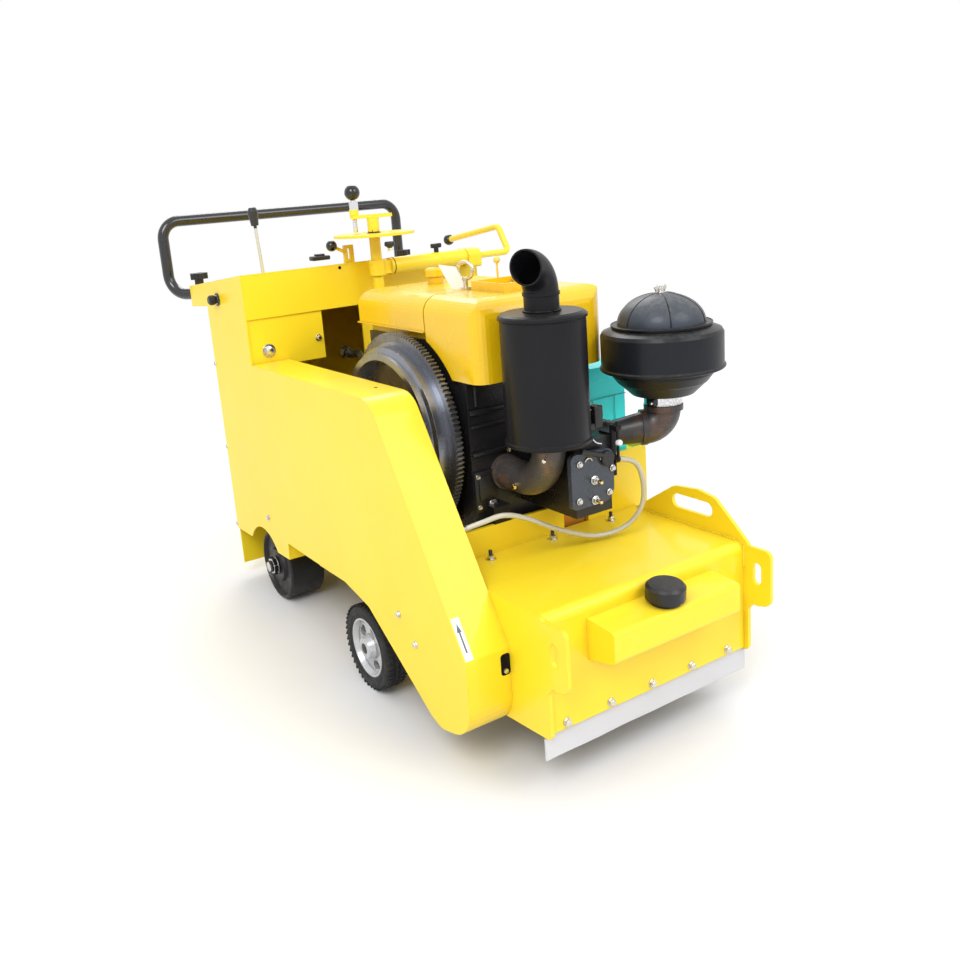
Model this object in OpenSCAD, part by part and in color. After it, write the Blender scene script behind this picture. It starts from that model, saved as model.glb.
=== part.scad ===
/* [Stance] */
// Nose-up lean of the parked machine in degrees, rear wheels wound up
nose_up = 4.5; // [3:0.5:6]
// Distance from the origin to the hood's front plate
origin_x = 707.5; // [650:0.5:760]
// Sideways distance from the origin to the hood's centre plane
origin_y = 1; // [-10:1:10]

/* [Milling hood] */
// Width over the hood's side plates
hood_w = 500; // [480:1:520]
// Length of the hood's top
hood_l = 300; // [296:1:320]
// Height of the hood's top
hood_top = 350; // [340:1:360]
// How far the side plates stand out in front of the hood's front
plate_front = 10; // [6:1:14]
// Height of the front plate's lower edge
hood_bottom = 131; // [125:1:140]
// Thickness of the hood's bent sheet
hood_t = 6; // [5:0.5:7]
// Thickness of the side plates
plate_t = 8; // [6:0.5:8]
// Outer radius of the bend at the hood's front edge
hood_bend_r = 18; // [12:1:24]
// Height of the bulkhead's upper edge behind the hood
bulkhead_top = 405; // [395:1:410]
// Height of the skirt's lower edge
skirt_bottom = 80; // [75:1:90]
// Thickness of the skirt
skirt_t = 4; // [3:0.5:5]
// How far the lashing tabs stand out in front
tab_l = 64; // [58:1:68]
// Width of the lashing slots
slot_w = 20; // [16:1:22]
// Height of the lashing slots
slot_h = 44; // [38:1:46]
// Length of the hand slot in the right side plate
grip_slot_l = 110; // [100:1:116]
// Height of the hand slot
grip_slot_h = 30; // [26:1:32]

/* [Water tank] */
// Width of the tank on the hood's front
tank_w = 306; // [280:1:320]
// How far the tank stands out
tank_l = 70; // [60:1:76]
// Height of the tank's top
tank_top = 320; // [316:1:326]
// Height of the tank's front face
tank_face_h = 56; // [50:1:60]
// Radius of the tank's cap
tank_cap_r = 36; // [30:1:40]
// Height of the tank's cap
tank_cap_h = 36; // [30:1:40]

/* [Milling drum] */
// Milled width, over the picks
cut_w = 350; // [330:1:360]
// Distance of the drum's axis behind the front plate
drum_x = 182; // [180:1:186]
// Height of the drum's axis
drum_z = 192; // [190:1:196]
// Radius of the drum's shell
drum_r = 66; // [60:1:68]
// Wall of the drum's shell
drum_wall = 12; // [10:1:16]
// Radius of the drum's shaft
shaft_r = 24; // [22:1:26]
// Rows of picks across the drum
pick_rows = 12; // [10:1:12]
// Picks in one row
pick_starts = 3; // [3:1:3]
// Lean of the picks from the radius in degrees
pick_lean = 42; // [38:1:45]
// Radius of the pick's shank
shank_r = 8; // [7:0.5:8.5]

/* [Belt drive] */
// How far the belt guard stands out from the hood's side
guard_depth = 92.5; // [91:0.5:95]
// Thickness of the guard's and the console's sheets
sheet_t = 4; // [3:0.5:4]
// Height of the guard's top
guard_top = 685; // [680:1:690]
// Radius of the guard's lower tip
tip_r = 92; // [90:1:94]
// Outer radius of the drum's pulley
drum_pulley_r = 62; // [58:1:64]
// Outer radius of the crankshaft's pulley
crank_pulley_r = 78; // [72:1:82]
// Number of belts
belt_count = 3; // [3:1:3]
// Distance from belt to belt
belt_pitch = 16; // [15:0.5:16]

/* [Engine] */
// Distance of the crankshaft behind the hood's front plate
crank_x = 535; // [530:1:540]
// Height of the crankshaft
crank_z = 562; // [558:1:566]
// Outer radius of the flywheel's toothed ring
ring_r = 209; // [205:1:212]
// Teeth on the ring
ring_teeth = 132; // [120:1:140]
// Depth of the teeth
tooth_h = 6; // [5:0.5:7]
// Thickness of the toothed ring
ring_t = 14; // [12:1:16]
// Width of the coolant hopper and fuel tank
hopper_w = 316; // [306:1:320]
// Height of the hopper's top
hopper_top = 846; // [840:1:850]
// Radius of the muffler
muffler_r = 81; // [76:1:82]
// Height of the muffler's drum
muffler_h = 242; // [230:1:250]
// Radius of the exhaust pipe
exhaust_r = 32; // [30:1:34]
// Outer radius of the air cleaner
cleaner_r = 122; // [115:1:126]
// Radius of the intake bend
intake_r = 34; // [31:1:35]
// Hole radius of the lifting eye
eye_hole_r = 14; // [12:0.5:15]
// Bar radius of the lifting eye
eye_bar_r = 4; // [3.5:0.5:5]

/* [Wheels] */
// Radius of the front tyres
front_r = 93; // [90:1:94]
// Width of the front tyres
front_w = 50; // [44:1:52]
// Distance of the front axle behind the hood's front plate
front_x = 508; // [504:1:512]
// Radius of the front rims
rim_r = 63; // [58:1:65]
// Radius of the rear rollers
rear_r = 88; // [84:1:89]
// Width of the rear rollers
rear_w = 88; // [80:1:90]
// Distance of the rear axle behind the hood's front plate
rear_x = 1005; // [1000:1:1010]
// Radius of both axles
axle_r = 15; // [13:0.5:16]
// Gap in a running fit
fit = 0.05; // [0.02:0.01:0.09]

/* [Console] */
// Distance of the console's front behind the hood's front plate
console_front = 929; // [920:1:935]
// Distance of the console's rear wall behind the hood's front plate
console_rear = 1176; // [1170:1:1182]
// Height of the console's front edge
console_top = 889; // [880:1:895]
// Drop of the sloped top towards the handle
console_fall = 40; // [34:1:44]
// Length of the lip that holds the handle's sockets
lip_l = 116; // [108:1:120]
// Depth of the lip
lip_h = 52; // [48:1:56]
// Height of the console's lower edge
console_bottom = 229; // [225:1:232]
// Height of the rear flap's lower edge
flap_bottom = 131; // [125:1:140]

/* [Controls] */
// Radius of the handle's tube
handle_r = 14; // [12:1:15]
// Width of the handle over its tube centres
handle_w = 686; // [670:1:690]
// Height of the handle's grip bar
handle_z = 1010; // [990:1:1020]
// Distance of the grip bar behind the hood's front plate
handle_x = 1375; // [1365:1:1385]
// Distance of the crank column behind the hood's front plate
column_x = 880; // [876:1:884]
// Radius of the crank column
column_r = 13; // [12:1:16]
// Height of the index disc
disc_z = 952; // [946:1:956]
// Radius of the index disc
disc_r = 95; // [90:1:100]
// Radius of the crank's ball grip
ball_r = 18; // [15:1:19]
// Height of the cross tube
cross_z = 874; // [870:1:878]
// Radius of the cross tube
cross_r = 20; // [18:1:22]

/* [Hidden] */
$fn = 64;

// Left is the belt guard's side, towards negative y; x runs forwards, away from the handle
yellow = "#f5d000";
amber = "#e0a008";
black = "#202226";
steel = "#a8abae";
rubber = "#26262a";

guard_y = hood_w / 2 + guard_depth;
// Centre plane of the rear body, midway between the guard and the right panel
mid_y = -24;
panel_y = 2 * mid_y + guard_y;
// Height of an axle at x whose wheels of radius r touch the ground of the leaning machine
function axle_z(x, r) = (r + x * sin(nose_up)) / cos(nose_up);
front_z = axle_z(front_x, front_r);
rear_z = axle_z(rear_x, rear_r);
guard_in_y = hood_w / 2;

module on_ground() translate([origin_x, origin_y, 0]) rotate([0, -nose_up, 0]) children();
// A flat outline in x and z, made t thick from y0 towards the left
module plate(y0, t) translate([0, y0 + t, 0]) rotate([90, 0, 0]) linear_extrude(t) children();
// A flat outline in y and z, made t thick from x0 forwards
module cross_plate(x0, t) translate([x0, 0, 0]) rotate([90, 0, 90]) linear_extrude(t) children();
module rod(x, z, r, y0, y1) translate([x, y0, z]) rotate([-90, 0, 0]) cylinder(r = r, h = y1 - y0);
module tube(x, z, r, hole, y0, y1) difference() {
    rod(x, z, r, y0, y1);
    rod(x, z, hole, y0 - 1, y1 + 1);
}
module block(x0, x1, y0, y1, z0, z1) translate([x0, y0, z0]) cube([x1 - x0, y1 - y0, z1 - z0]);
module on_both_sides() {
    children();
    translate([0, 2 * mid_y, 0]) mirror([0, 1, 0]) children();
}
// A round bar from a to b, of radius r1 at a and r2 at b
module taper(a, b, r1, r2) {
    d = b - a;
    translate(a) rotate([0, acos(d.z / norm(d)), atan2(d.y, d.x)]) cylinder(r1 = r1, r2 = r2, h = norm(d));
}
module bar(a, b, r) taper(a, b, r, r);
// Round bar of radius r along the points p, bent by the radius big[i] at inner point i;
// its straight runs lap over the bends, which are thinner by a hair
bend_lap = 1.5;
bend_thin = 0.2;
function turn_at(p, i) = acos(unit(p[i] - p[i - 1]) * unit(p[i + 1] - p[i]));
function bend_trim(p, i, big) = big[i - 1] * tan(turn_at(p, i) / 2);
function run_gap(p, i, big) = i == 0 || i == len(p) - 1 ? 0 : bend_trim(p, i, big) - bend_lap;
module bent_bar(p, big, r) {
    for (i = [0:len(p) - 2]) {
        u = unit(p[i + 1] - p[i]);
        bar(p[i] + run_gap(p, i, big) * u, p[i + 1] - run_gap(p, i + 1, big) * u, r);
    }
    for (i = [1:len(p) - 2]) {
        u = unit(p[i] - p[i - 1]);
        v = unit(p[i + 1] - p[i]);
        n = unit(v - (u * v) * u);
        w = cross(u, n);
        c = p[i] - bend_trim(p, i, big) * u + big[i - 1] * n;
        multmatrix([[-n.x, u.x, w.x, c.x], [-n.y, u.y, w.y, c.y], [-n.z, u.z, w.z, c.z], [0, 0, 0, 1]])
            rotate_extrude(angle = turn_at(p, i)) translate([big[i - 1], 0]) circle(r - bend_thin);
    }
}

// Corners [x, z, radius] to the outline's points, each corner rounded by its radius
function unit(v) = v / norm(v);
function corner_arc(a, b, d, n) =
    b[2] == 0 ? [[b.x, b.y]] :
    let (p = [b.x, b.y], u = unit([a.x, a.y] - p), v = unit([d.x, d.y] - p), half = acos(u * v) / 2,
        c = p + unit(u + v) * b[2] / sin(half), s = p + u * b[2] / tan(half) - c, e = p + v * b[2] / tan(half) - c,
        a0 = atan2(s.y, s.x), turn = atan2(s.x * e.y - s.y * e.x, s * e))
    [for (i = [0:n]) c + b[2] * [cos(a0 + turn * i / n), sin(a0 + turn * i / n)]];
function rounded(c, n = 6) =
    [for (i = [0:len(c) - 1]) each corner_arc(c[(i + len(c) - 1) % len(c)], c[i], c[(i + 1) % len(c)], n)];
module outline(c, n = 6) polygon(rounded(c, n));
// Outline round two circles [x, z, radius]
function loop(p, q, n = 20) = let (d = [q.x - p.x, q.y - p.y], a = atan2(d.y, d.x), b = acos((p[2] - q[2]) / norm(d)))
    concat(
        [for (i = [0:n], t = [a + b + (360 - 2 * b) * i / n]) [p.x, p.y] + p[2] * [cos(t), sin(t)]],
        [for (i = [0:n], t = [a - b + 2 * b * i / n]) [q.x, q.y] + q[2] * [cos(t), sin(t)]]);

module hood() color(yellow) {
    y = hood_w / 2 - plate_t;
    on_ground() plate(-y, 2 * y) outline([
        [0, hood_bottom, 0], [0, hood_top, hood_bend_r], [-hood_l, hood_top, 0], [-hood_l, hood_top - hood_t, 0],
        [-hood_t, hood_top - hood_t, hood_bend_r - hood_t], [-hood_t, hood_bottom, 0]]);
}
// Lower edge of the side plates, falling backwards
side_low = [[-hood_l, hood_bottom - 25, 0], [plate_front, hood_bottom - 4, 10]];
module lashing_slot() translate([tab_l / 2, (hood_top + hood_bottom) / 2 + 54]) {
    for (s = [-1, 1]) translate([0, s * (slot_h - slot_w) / 2]) circle(slot_w / 2);
    square([slot_w, slot_h - slot_w], center = true);
}
module tab_outline() outline([
    [-hood_t, hood_bottom + 88, 0], [14, hood_bottom + 88, 0], [20, hood_bottom + 98, 3], [34, hood_bottom + 98, 3],
    [tab_l, hood_bottom + 106, 16], [tab_l, hood_top - 4, 14], [-hood_t, hood_top - 4, 0]]);
module shaft_hole() translate([-drum_x, drum_z]) circle(shaft_r + 6);
module side_plate_left() color(yellow) on_ground() plate(-hood_w / 2, plate_t) difference() {
    union() {
        outline(concat(side_low, [[plate_front, hood_top, hood_bend_r], [-hood_l, hood_top, 0]]));
        tab_outline();
    }
    lashing_slot();
    shaft_hole();
}
module side_plate_right() color(yellow) on_ground() plate(hood_w / 2 - plate_t, plate_t) difference() {
    union() {
        outline(concat(side_low, [[plate_front, hood_top, 8], [-73, hood_top + 72, 20], [-117, hood_top + 80, 20],
            [-184, hood_top + 74, 24], [-hood_l, hood_top, 0]]));
        tab_outline();
    }
    lashing_slot();
    shaft_hole();
    translate([-134, hood_top + 44]) {
        for (s = [-1, 1]) translate([s * (grip_slot_l - grip_slot_h) / 2, 0]) circle(grip_slot_h / 2);
        square([grip_slot_l - grip_slot_h, grip_slot_h], center = true);
    }
}
module skirt() color("#b9bcc0") on_ground() {
    block(-hood_t - skirt_t, -hood_t, plate_t - hood_w / 2, hood_w / 2 - plate_t, skirt_bottom, hood_bottom + 30);
    block(-hood_t - skirt_t, -hood_t, -hood_w / 2, hood_w / 2, skirt_bottom, hood_bottom - 8);
}
// Fall of the tank's top towards its front
tank_fall = 6;
module water_tank() color(yellow) on_ground() plate(-tank_w / 2, tank_w) outline([
    [0, tank_top - tank_face_h - 22, 0], [tank_l, tank_top - tank_face_h - tank_fall, 8],
    [tank_l, tank_top - tank_fall, 8], [0, tank_top, 0]], 4);
cap_x = tank_cap_r + 1.5;
module water_cap() color(black) on_ground() translate([cap_x, -4, tank_top - cap_x * tank_fall / tank_l])
    rotate([0, atan(tank_fall / tank_l), 0]) rotate_extrude() polygon([[0, 0], [tank_cap_r - 8, 0], [tank_cap_r - 8, 9],
        [tank_cap_r, 9], [tank_cap_r, tank_cap_h - 5], [tank_cap_r - 5, tank_cap_h], [0, tank_cap_h]]);
bulkhead_x = -hood_l - plate_t;
module bulkhead() color(yellow) on_ground() cross_plate(bulkhead_x, plate_t) polygon([
    [-hood_w / 2, skirt_bottom + 62], [hood_w / 2, skirt_bottom + 62], [hood_w / 2, hood_top], [45, hood_top],
    [45, bulkhead_top - 12], [33, bulkhead_top], [-hood_w / 2 + 14, bulkhead_top], [-hood_w / 2, bulkhead_top - 14]]);

bearing_l = 16;
module drum_bearings() color(black) on_ground() for (s = [-1, 1]) mirror([0, s < 0 ? 1 : 0, 0])
    translate([-drum_x, hood_w / 2, drum_z]) rotate([-90, 0, 0]) difference() {
        union() {
            cylinder(r = shaft_r + 28, h = 8);
            cylinder(r1 = shaft_r + 18, r2 = shaft_r + 14, h = bearing_l);
        }
        translate([0, 0, -1]) cylinder(r = shaft_r + fit, h = bearing_l + 2);
        for (a = [45:90:315]) rotate([0, 0, a]) translate([shaft_r + 22, 0, -1]) cylinder(r = 4, h = 10);
    }
// Drum, its axis along y; every pick holder sits at [angle, y]
holder_r = drum_r + 14;
collar_h = 4;
cone_h = 22;
seat_h = 8;
pick_step = (cut_w - 30) / (pick_rows - 1);
function pick_places() = [for (i = [0:pick_rows - 1], k = [0:pick_starts - 1])
    [360 / pick_starts * k + 30 * i, (i - (pick_rows - 1) / 2) * pick_step]];
// Moves its children to each holder, z along the pick, x across the drum's width
module at_picks() for (p = pick_places()) translate([-drum_x, p[1], drum_z]) rotate([0, p[0], 0])
    translate([0, 0, holder_r]) rotate([0, pick_lean, 0]) rotate([0, 0, 90]) children();
shaft_left = guard_y - sheet_t - 12;
shaft_right = hood_w / 2 + bearing_l + 4;
module drum() color(black) on_ground() difference() {
    union() {
        turned(-drum_x, drum_z) polygon([[0, -shaft_right], [shaft_r, -shaft_right], [shaft_r, 10 - cut_w / 2],
            [drum_r - drum_wall, 10 - cut_w / 2], [drum_r - drum_wall, -cut_w / 2], [drum_r, -cut_w / 2], [drum_r, cut_w / 2],
            [drum_r - drum_wall, cut_w / 2], [drum_r - drum_wall, cut_w / 2 - 10], [shaft_r, cut_w / 2 - 10],
            [shaft_r, shaft_left], [0, shaft_left]]);
        at_picks() block(-11, 11, -15, 15, -30, seat_h);
    }
    at_picks() translate([0, 0, -shank_l - 0.5]) cylinder(r = shank_r + 0.1, h = shank_l + 20, $fn = 24);
}
shank_l = 12;
module picks() color(steel) on_ground() at_picks() {
    translate([0, 0, -shank_l]) cylinder(r = shank_r, h = shank_l + seat_h + 0.2, $fn = 24);
    translate([0, 0, seat_h + 0.2]) cylinder(r = 11, h = collar_h, $fn = 24);
    translate([0, 0, seat_h + 0.2 + collar_h]) cylinder(r1 = 10, r2 = 3.5, h = cone_h - 6, $fn = 24);
    translate([0, 0, seat_h + 0.2 + collar_h + cone_h - 6]) cylinder(r1 = 3.5, r2 = 1.2, h = 6, $fn = 24);
}
// Grooved pulley of radius r with its axis along y, centred at y = 0
belt_w = 11;
belt_h = 8;
pulley_w = belt_count * belt_pitch + 4;
belt_y = -(guard_y + guard_in_y) / 2;
module pulley(r, hole) rotate([-90, 0, 0]) translate([0, 0, -pulley_w / 2]) difference() {
    rotate_extrude() difference() {
        translate([hole, 0]) square([r - hole, pulley_w]);
        for (i = [0:belt_count - 1]) translate([r, pulley_w / 2 + (i - (belt_count - 1) / 2) * belt_pitch])
            polygon([[0.1, -belt_w / 2 - 0.6], [0.1, belt_w / 2 + 0.6], [-belt_h - 2, belt_w / 2 - 2], [-belt_h - 2, 2 - belt_w / 2]]);
    }
}
module drum_pulley() color(black) on_ground() translate([-drum_x, belt_y, drum_z]) pulley(drum_pulley_r, shaft_r);
// Belt loops round both pulleys, outside them at the same pitch
drum_end = [-drum_x, drum_z, drum_pulley_r];
crank_end = [-crank_x, crank_z, crank_pulley_r];
module belts() color(rubber) on_ground() for (i = [0:belt_count - 1])
    plate(belt_y + (i - (belt_count - 1) / 2) * belt_pitch - belt_w / 2 + 2, belt_w - 4) difference() {
        polygon(loop(drum_end + [0, 0, 3.5], crank_end + [0, 0, 3.5]));
        polygon(loop(drum_end - [0, 0, 2.5], crank_end - [0, 0, 2.5]));
    }

// Outline of the belt guard's front part [x, z, radius], anticlockwise from the drum's tip
tip_x = -190;
tip_z = 185;
guard_c = [[-232, tip_z - tip_r + 12, 0], [-198, tip_z - tip_r, 40], [-98, tip_z - 70, 70], [-98, 262, 10],
    [-360, guard_top, 60], [-console_front, guard_top, 0]];
module wheel_arch() translate([13 - rear_x, rear_z + 9]) circle(rear_r + 11);
// Lower edge of both side panels, from the rear corner to the guard's tip
low_edge = [[-console_rear, console_bottom, 0], [-843, console_bottom + 6, 0], [-841, 276, 0], [-550, 272, 60],
    [-450, 250, 20], [-232, tip_z - tip_r + 12, 0]];
ce = -console_rear - lip_l;
function console_z(x) = console_top - console_fall * (x + console_front) / (ce + console_front);
lip_z = console_top - console_fall - lip_h + 8;
console_side = [[-console_front, console_top, 0], [ce, console_z(ce), 0], [ce, console_z(ce) - lip_h, 0],
    [-console_rear, lip_z, 0]];
module guard_plate() color(yellow) on_ground() plate(-guard_y, sheet_t) difference() {
    outline(concat(low_edge, [for (i = [1:len(guard_c) - 1]) guard_c[i]], console_side), 8);
    wheel_arch();
}
// The guard's edge strip follows the outline, one sheet thick
module guard_strip() color(yellow) on_ground() plate(sheet_t - guard_y, guard_y - guard_in_y - sheet_t) outline([
    guard_c[0], guard_c[1], guard_c[2], guard_c[3], guard_c[4], guard_c[5],
    [-console_front, guard_top - sheet_t, 0], [-362.5, guard_top - sheet_t, 56], [-102, 260, 6],
    [-102, tip_z - 66, 66], [-199, tip_z - tip_r + sheet_t, 36], [-231, tip_z - tip_r + 16, 0]], 8);
module side_panel() color(yellow) on_ground() plate(panel_y - sheet_t, sheet_t) difference() {
    outline(concat([for (i = [0:4]) low_edge[i]], [[bulkhead_x, 156, 0], [bulkhead_x, hood_top - 10, 12],
        [-console_front, hood_top - 10, 0]], console_side), 8);
    wheel_arch();
}

// Frame: outer rails beside the engine, inner rails from bulkhead to rear wall
rail_in = 176;
wheel_out = guard_y - 11.5;
rear_out = guard_y - 28.5;
rail_out = wheel_out - front_w - 49;
box_x = -843;
deck_z = 290;
pivot_x = 760;
pivot_z = 228;
pivot_r = 14;
arm_y = 118;
column_y = -21;
screw_r = 9;
in_y = sheet_t - guard_y;
module frame_rails() color(yellow) on_ground() {
    on_both_sides() difference() {
        union() {
            block(box_x, bulkhead_x, -rail_out - 38, -rail_out, 200, deck_z);
            block(-front_x - 26, 26 - front_x, -rail_out - 38, -rail_out - 28, front_z - 26, 210);
        }
        rod(-front_x, front_z, axle_r, -guard_y, 0);
    }
    on_both_sides() difference() {
        union() {
            block(sheet_t - console_rear, bulkhead_x, -rail_in - 24, -rail_in + 16, deck_z - 34, deck_z);
            block(-pivot_x - 28, 28 - pivot_x, -rail_in - 22, -rail_in - 10, pivot_z - 26, deck_z - 30);
        }
        rod(-pivot_x, pivot_z, pivot_r + fit, -guard_y, 0);
    }
    translate([0, 2 * mid_y, 0]) mirror([0, 1, 0]) block(bulkhead_x - 12, bulkhead_x, in_y, -rail_out - 38, 240, deck_z - 6);
}
// The deck's sheet with the boxes over the rear rollers
module deck() color(yellow) on_ground() difference() {
    union() {
        block(box_x, bulkhead_x, -rail_out - 38, 2 * mid_y + rail_out + 38, deck_z, deck_z + sheet_t);
        block(sheet_t - console_rear, box_x, in_y, 2 * mid_y - in_y, deck_z, deck_z + sheet_t);
        on_both_sides() block(box_x - sheet_t, box_x, in_y, -rail_in - 24, console_bottom + 6, deck_z);
    }
    translate([-column_x, column_y, deck_z - 1]) cylinder(r = screw_r + 5, h = 9);
}

// Engine, front to back: head, crankcase, and the coolant hopper and fuel tank on top
deck_top = deck_z + sheet_t;
case_z = 330;
case_x = -700;
case_front = -330;
case_y = 150;
case_right = 78;
case_top = 758;
seam_x = -450;
hopper_low = 690;
// Arc of the hopper's lower edge, clear of the flywheel, from the seam forwards
arc_r = norm([seam_x + crank_x, case_top - crank_z]);
arc_end = asin((hopper_low - crank_z) / arc_r);
arc_start = atan2(case_top - crank_z, seam_x + crank_x);
hopper_arc = [for (i = [0:8], a = [arc_start + (arc_end - arc_start) * i / 8]) [-crank_x + arc_r * cos(a), crank_z + arc_r * sin(a)]];
shaft_bore = 28;
module engine_feet() color(black) on_ground() {
    for (x = [-650, -420]) block(x - 30, x + 30, -case_y + 20, case_right - 16, deck_top, case_z);
    block(case_front, bulkhead_x + plate_t, 24 - case_y, 64 - case_y, bulkhead_top, bulkhead_top + 34);
}
module crankcase() color("#3a3c40") on_ground() difference() {
    union() {
        plate(-case_y, case_y + case_right) polygon(concat([[case_x, case_z], [case_front, case_z],
            [case_front, hopper_low]], [for (i = [8:-1:0]) hopper_arc[i]], [[case_x, case_top]]));
        rod(-crank_x, crank_z, shaft_bore + 24, -hub_y + 2, -case_y);
        for (i = [0:5]) block(case_front, case_front + 7, 30 - case_y + i * 16, 36 - case_y + i * 16, case_z + 14, 396);
    }
    rod(-crank_x, crank_z, shaft_bore + fit, -hub_y, 30 - case_y);
}
head_front = -155;
head_y = [-38, 50];
head_top = 576;
in_dir = atan2(-111, -68);
module cylinder_head() color("#3a3c40") on_ground() {
    block(case_front, head_front, head_y[0], head_y[1], 430, head_top);
    translate(port_end) rotate([0, 90, in_dir]) cylinder(r = pipe_r + 7, h = 84);
}
module rocker_cover() color("#4a4c50") on_ground() {
    cross_plate(head_front, 10) outline([[-34, 462, 10], [40, 462, 24], [40, 554, 14], [-34, 554, 10]]);
    cross_plate(head_front + 9, 11) outline([[-62, 456, 9], [40, 456, 28], [40, 558, 16], [-62, 562, 12]]);
}
shoulder = 35;
module tinware_section(z0) outline([[-hopper_w / 2, z0, 0], [hopper_w / 2, z0, 0],
    [hopper_w / 2, hopper_top, shoulder], [-hopper_w / 2, hopper_top, shoulder]], 8);
hopper_front = -270;
module hopper() color(amber) on_ground() {
    intersection() {
        plate(-hopper_w / 2, hopper_w) outline(concat([for (p = hopper_arc) [p.x, p.y, 0]],
            [[hopper_front, hopper_low, 0], [hopper_front, hopper_top, shoulder], [seam_x, hopper_top, 0]]));
        cross_plate(seam_x, 200) tinware_section(hopper_low - 5);
        translate([0, 0, hopper_low - 5]) linear_extrude(200) outline([[seam_x, -hopper_w / 2, 0],
            [hopper_front, -hopper_w / 2, 30], [hopper_front, hopper_w / 2, 45], [seam_x, hopper_w / 2, 0]]);
    }
    difference() {
        block(seam_x + 12, seam_x + 124, -50, 54, hopper_top, hopper_top + 18);
        block(seam_x + 16, seam_x + 120, -46, 50, hopper_top + 1, hopper_top + 19);
    }
}
tank_z = case_top + 19;
tank_back = -727;
tank_front = seam_x - 4;
tank_lip = 4;
module fuel_tank() color(amber) on_ground() {
    intersection() {
        cross_plate(tank_back, tank_front - tank_back) tinware_section(tank_z);
        plate(-hopper_w / 2, hopper_w) outline([[tank_back, tank_z, 0], [tank_front, tank_z, 0],
            [tank_front, hopper_top, 0], [tank_back, hopper_top, 30]]);
    }
    block(tank_back - tank_lip, tank_front, -hopper_w / 2 - tank_lip, hopper_w / 2 + tank_lip, tank_z - 3, tank_z);
    block(tank_back + 30, tank_front, -case_y + 6, case_right - 6, case_top, tank_z - 2);
}
module fuel_cap() color(amber) on_ground() translate([-642, -8, hopper_top]) {
    cylinder(r = 17, h = 16);
    translate([0, 0, 16]) cylinder(r = 22, h = 14);
    translate([0, 0, 30]) cylinder(r1 = 22, r2 = 18, h = 4);
}
// Float on its wire in the hopper's inlet box
module float_gauge() color("#c8cacc") on_ground() translate([seam_x + 66, -22, hopper_top + 1]) {
    cylinder(r = 14, h = 5);
    cylinder(r = 2, h = 54);
    translate([0, 0, 58]) sphere(7, $fn = 32);
}
eye_z = hopper_top + 38;
eye_x = seam_x - 12;
eye_flat = 0.75 * eye_bar_r;
eye_y = -47;
// Turn of the eye about its shank, its hole facing the front left
eye_turn = -60;
module lifting_eye() color("#b8ab86") on_ground() {
    translate([eye_x, eye_y, eye_z]) rotate([0, 90, eye_turn]) rotate_extrude() difference() {
        translate([eye_hole_r + eye_flat, 0]) circle(eye_bar_r, $fn = 32);
        translate([0, -20]) square([eye_hole_r, 40]);
    }
    translate([eye_x, eye_y, hopper_top]) cylinder(r = 5, h = eye_z - hopper_top - eye_hole_r - 2);
    translate([eye_x, eye_y, hopper_top]) cylinder(r = 11, h = 5);
}

// Flywheel turned about y, its radius in x and its place along y
hub_y = 168;
wheel_w = 54;
body_r = ring_r - tooth_h - 13;
module turned(x, z) translate([x, 0, z]) rotate([90, 0, 0]) rotate_extrude($fn = 96) children();
module flywheel() color(black) on_ground() {
    turned(-crank_x, crank_z) polygon([[0, case_y - 28], [shaft_bore, case_y - 28], [shaft_bore, hub_y], [body_r, hub_y], [body_r, hub_y + ring_t], [body_r - 8, hub_y + ring_t],
        [body_r - 8, hub_y + wheel_w - 15], [body_r - 18, hub_y + wheel_w - 11], [body_r - 18, hub_y + wheel_w],
        [body_r - 32, hub_y + wheel_w], [body_r - 46, hub_y + 22], [60, hub_y + 22], [54, hub_y + wheel_w - 8],
        [40, hub_y + wheel_w - 8], [40, -belt_y + pulley_w / 2 + 4], [0, -belt_y + pulley_w / 2 + 4]]);
    translate([-crank_x, belt_y, crank_z]) pulley(crank_pulley_r, 39);
}
module ring_gear() color(steel) on_ground() plate(-hub_y - ring_t, ring_t) translate([-crank_x, crank_z]) difference() {
    polygon([for (i = [0:ring_teeth - 1], k = [0:3], t = [(i + [0, 0.22, 0.5, 0.72][k]) * 360 / ring_teeth])
        (ring_r - [tooth_h, 0, 0, tooth_h][k]) * [cos(t), sin(t)]]);
    circle(body_r, $fn = 96);
}

// Exhaust: from the crankcase port up into the muffler, then out through the turned tail pipe
muffler_x = -180;
muffler_y = -74;
muffler_z = 583;
port_z = 497;
// Quarter bend of radius r and centre radius big, in x and z, from pointing down at the start to pointing back
module quarter(big, r, hole = 0) rotate([90, 0, 0]) rotate_extrude(angle = 90) translate([big, 0]) difference() {
    circle(r, $fn = 48);
    if (hole > 0) circle(hole, $fn = 48);
}
module exhaust_elbow() color("#8a5a3c") on_ground() translate([muffler_x, muffler_y, muffler_z]) {
    big = muffler_z - port_z;
    translate([-big, 0, 0]) rotate([0, 90, 0]) quarter(big, exhaust_r);
    translate([case_front - muffler_x, 0, -big]) rotate([0, 90, 0]) cylinder(r = exhaust_r, h = muffler_x - big - case_front);
    translate([case_front - muffler_x, 0, -big]) rotate([0, 90, 0]) cylinder(r = exhaust_r + 3, h = 12);
}
tail_bend = 50;
tail_neck = 32;
tail_wall = 3;
module muffler() color(black) on_ground() {
    translate([muffler_x, muffler_y, muffler_z]) rotate_extrude() polygon([[0, 0], [muffler_r - 7, 0],
        [muffler_r - 1, 2], [muffler_r, 4], [muffler_r, 9], [muffler_r - 3, 11], [muffler_r - 3, muffler_h - 13],
        [muffler_r, muffler_h - 11], [muffler_r, muffler_h - 6], [muffler_r - 3, muffler_h - 3],
        [muffler_r - 9, muffler_h], [0, muffler_h]]);
    tail_pipe();
}
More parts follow.
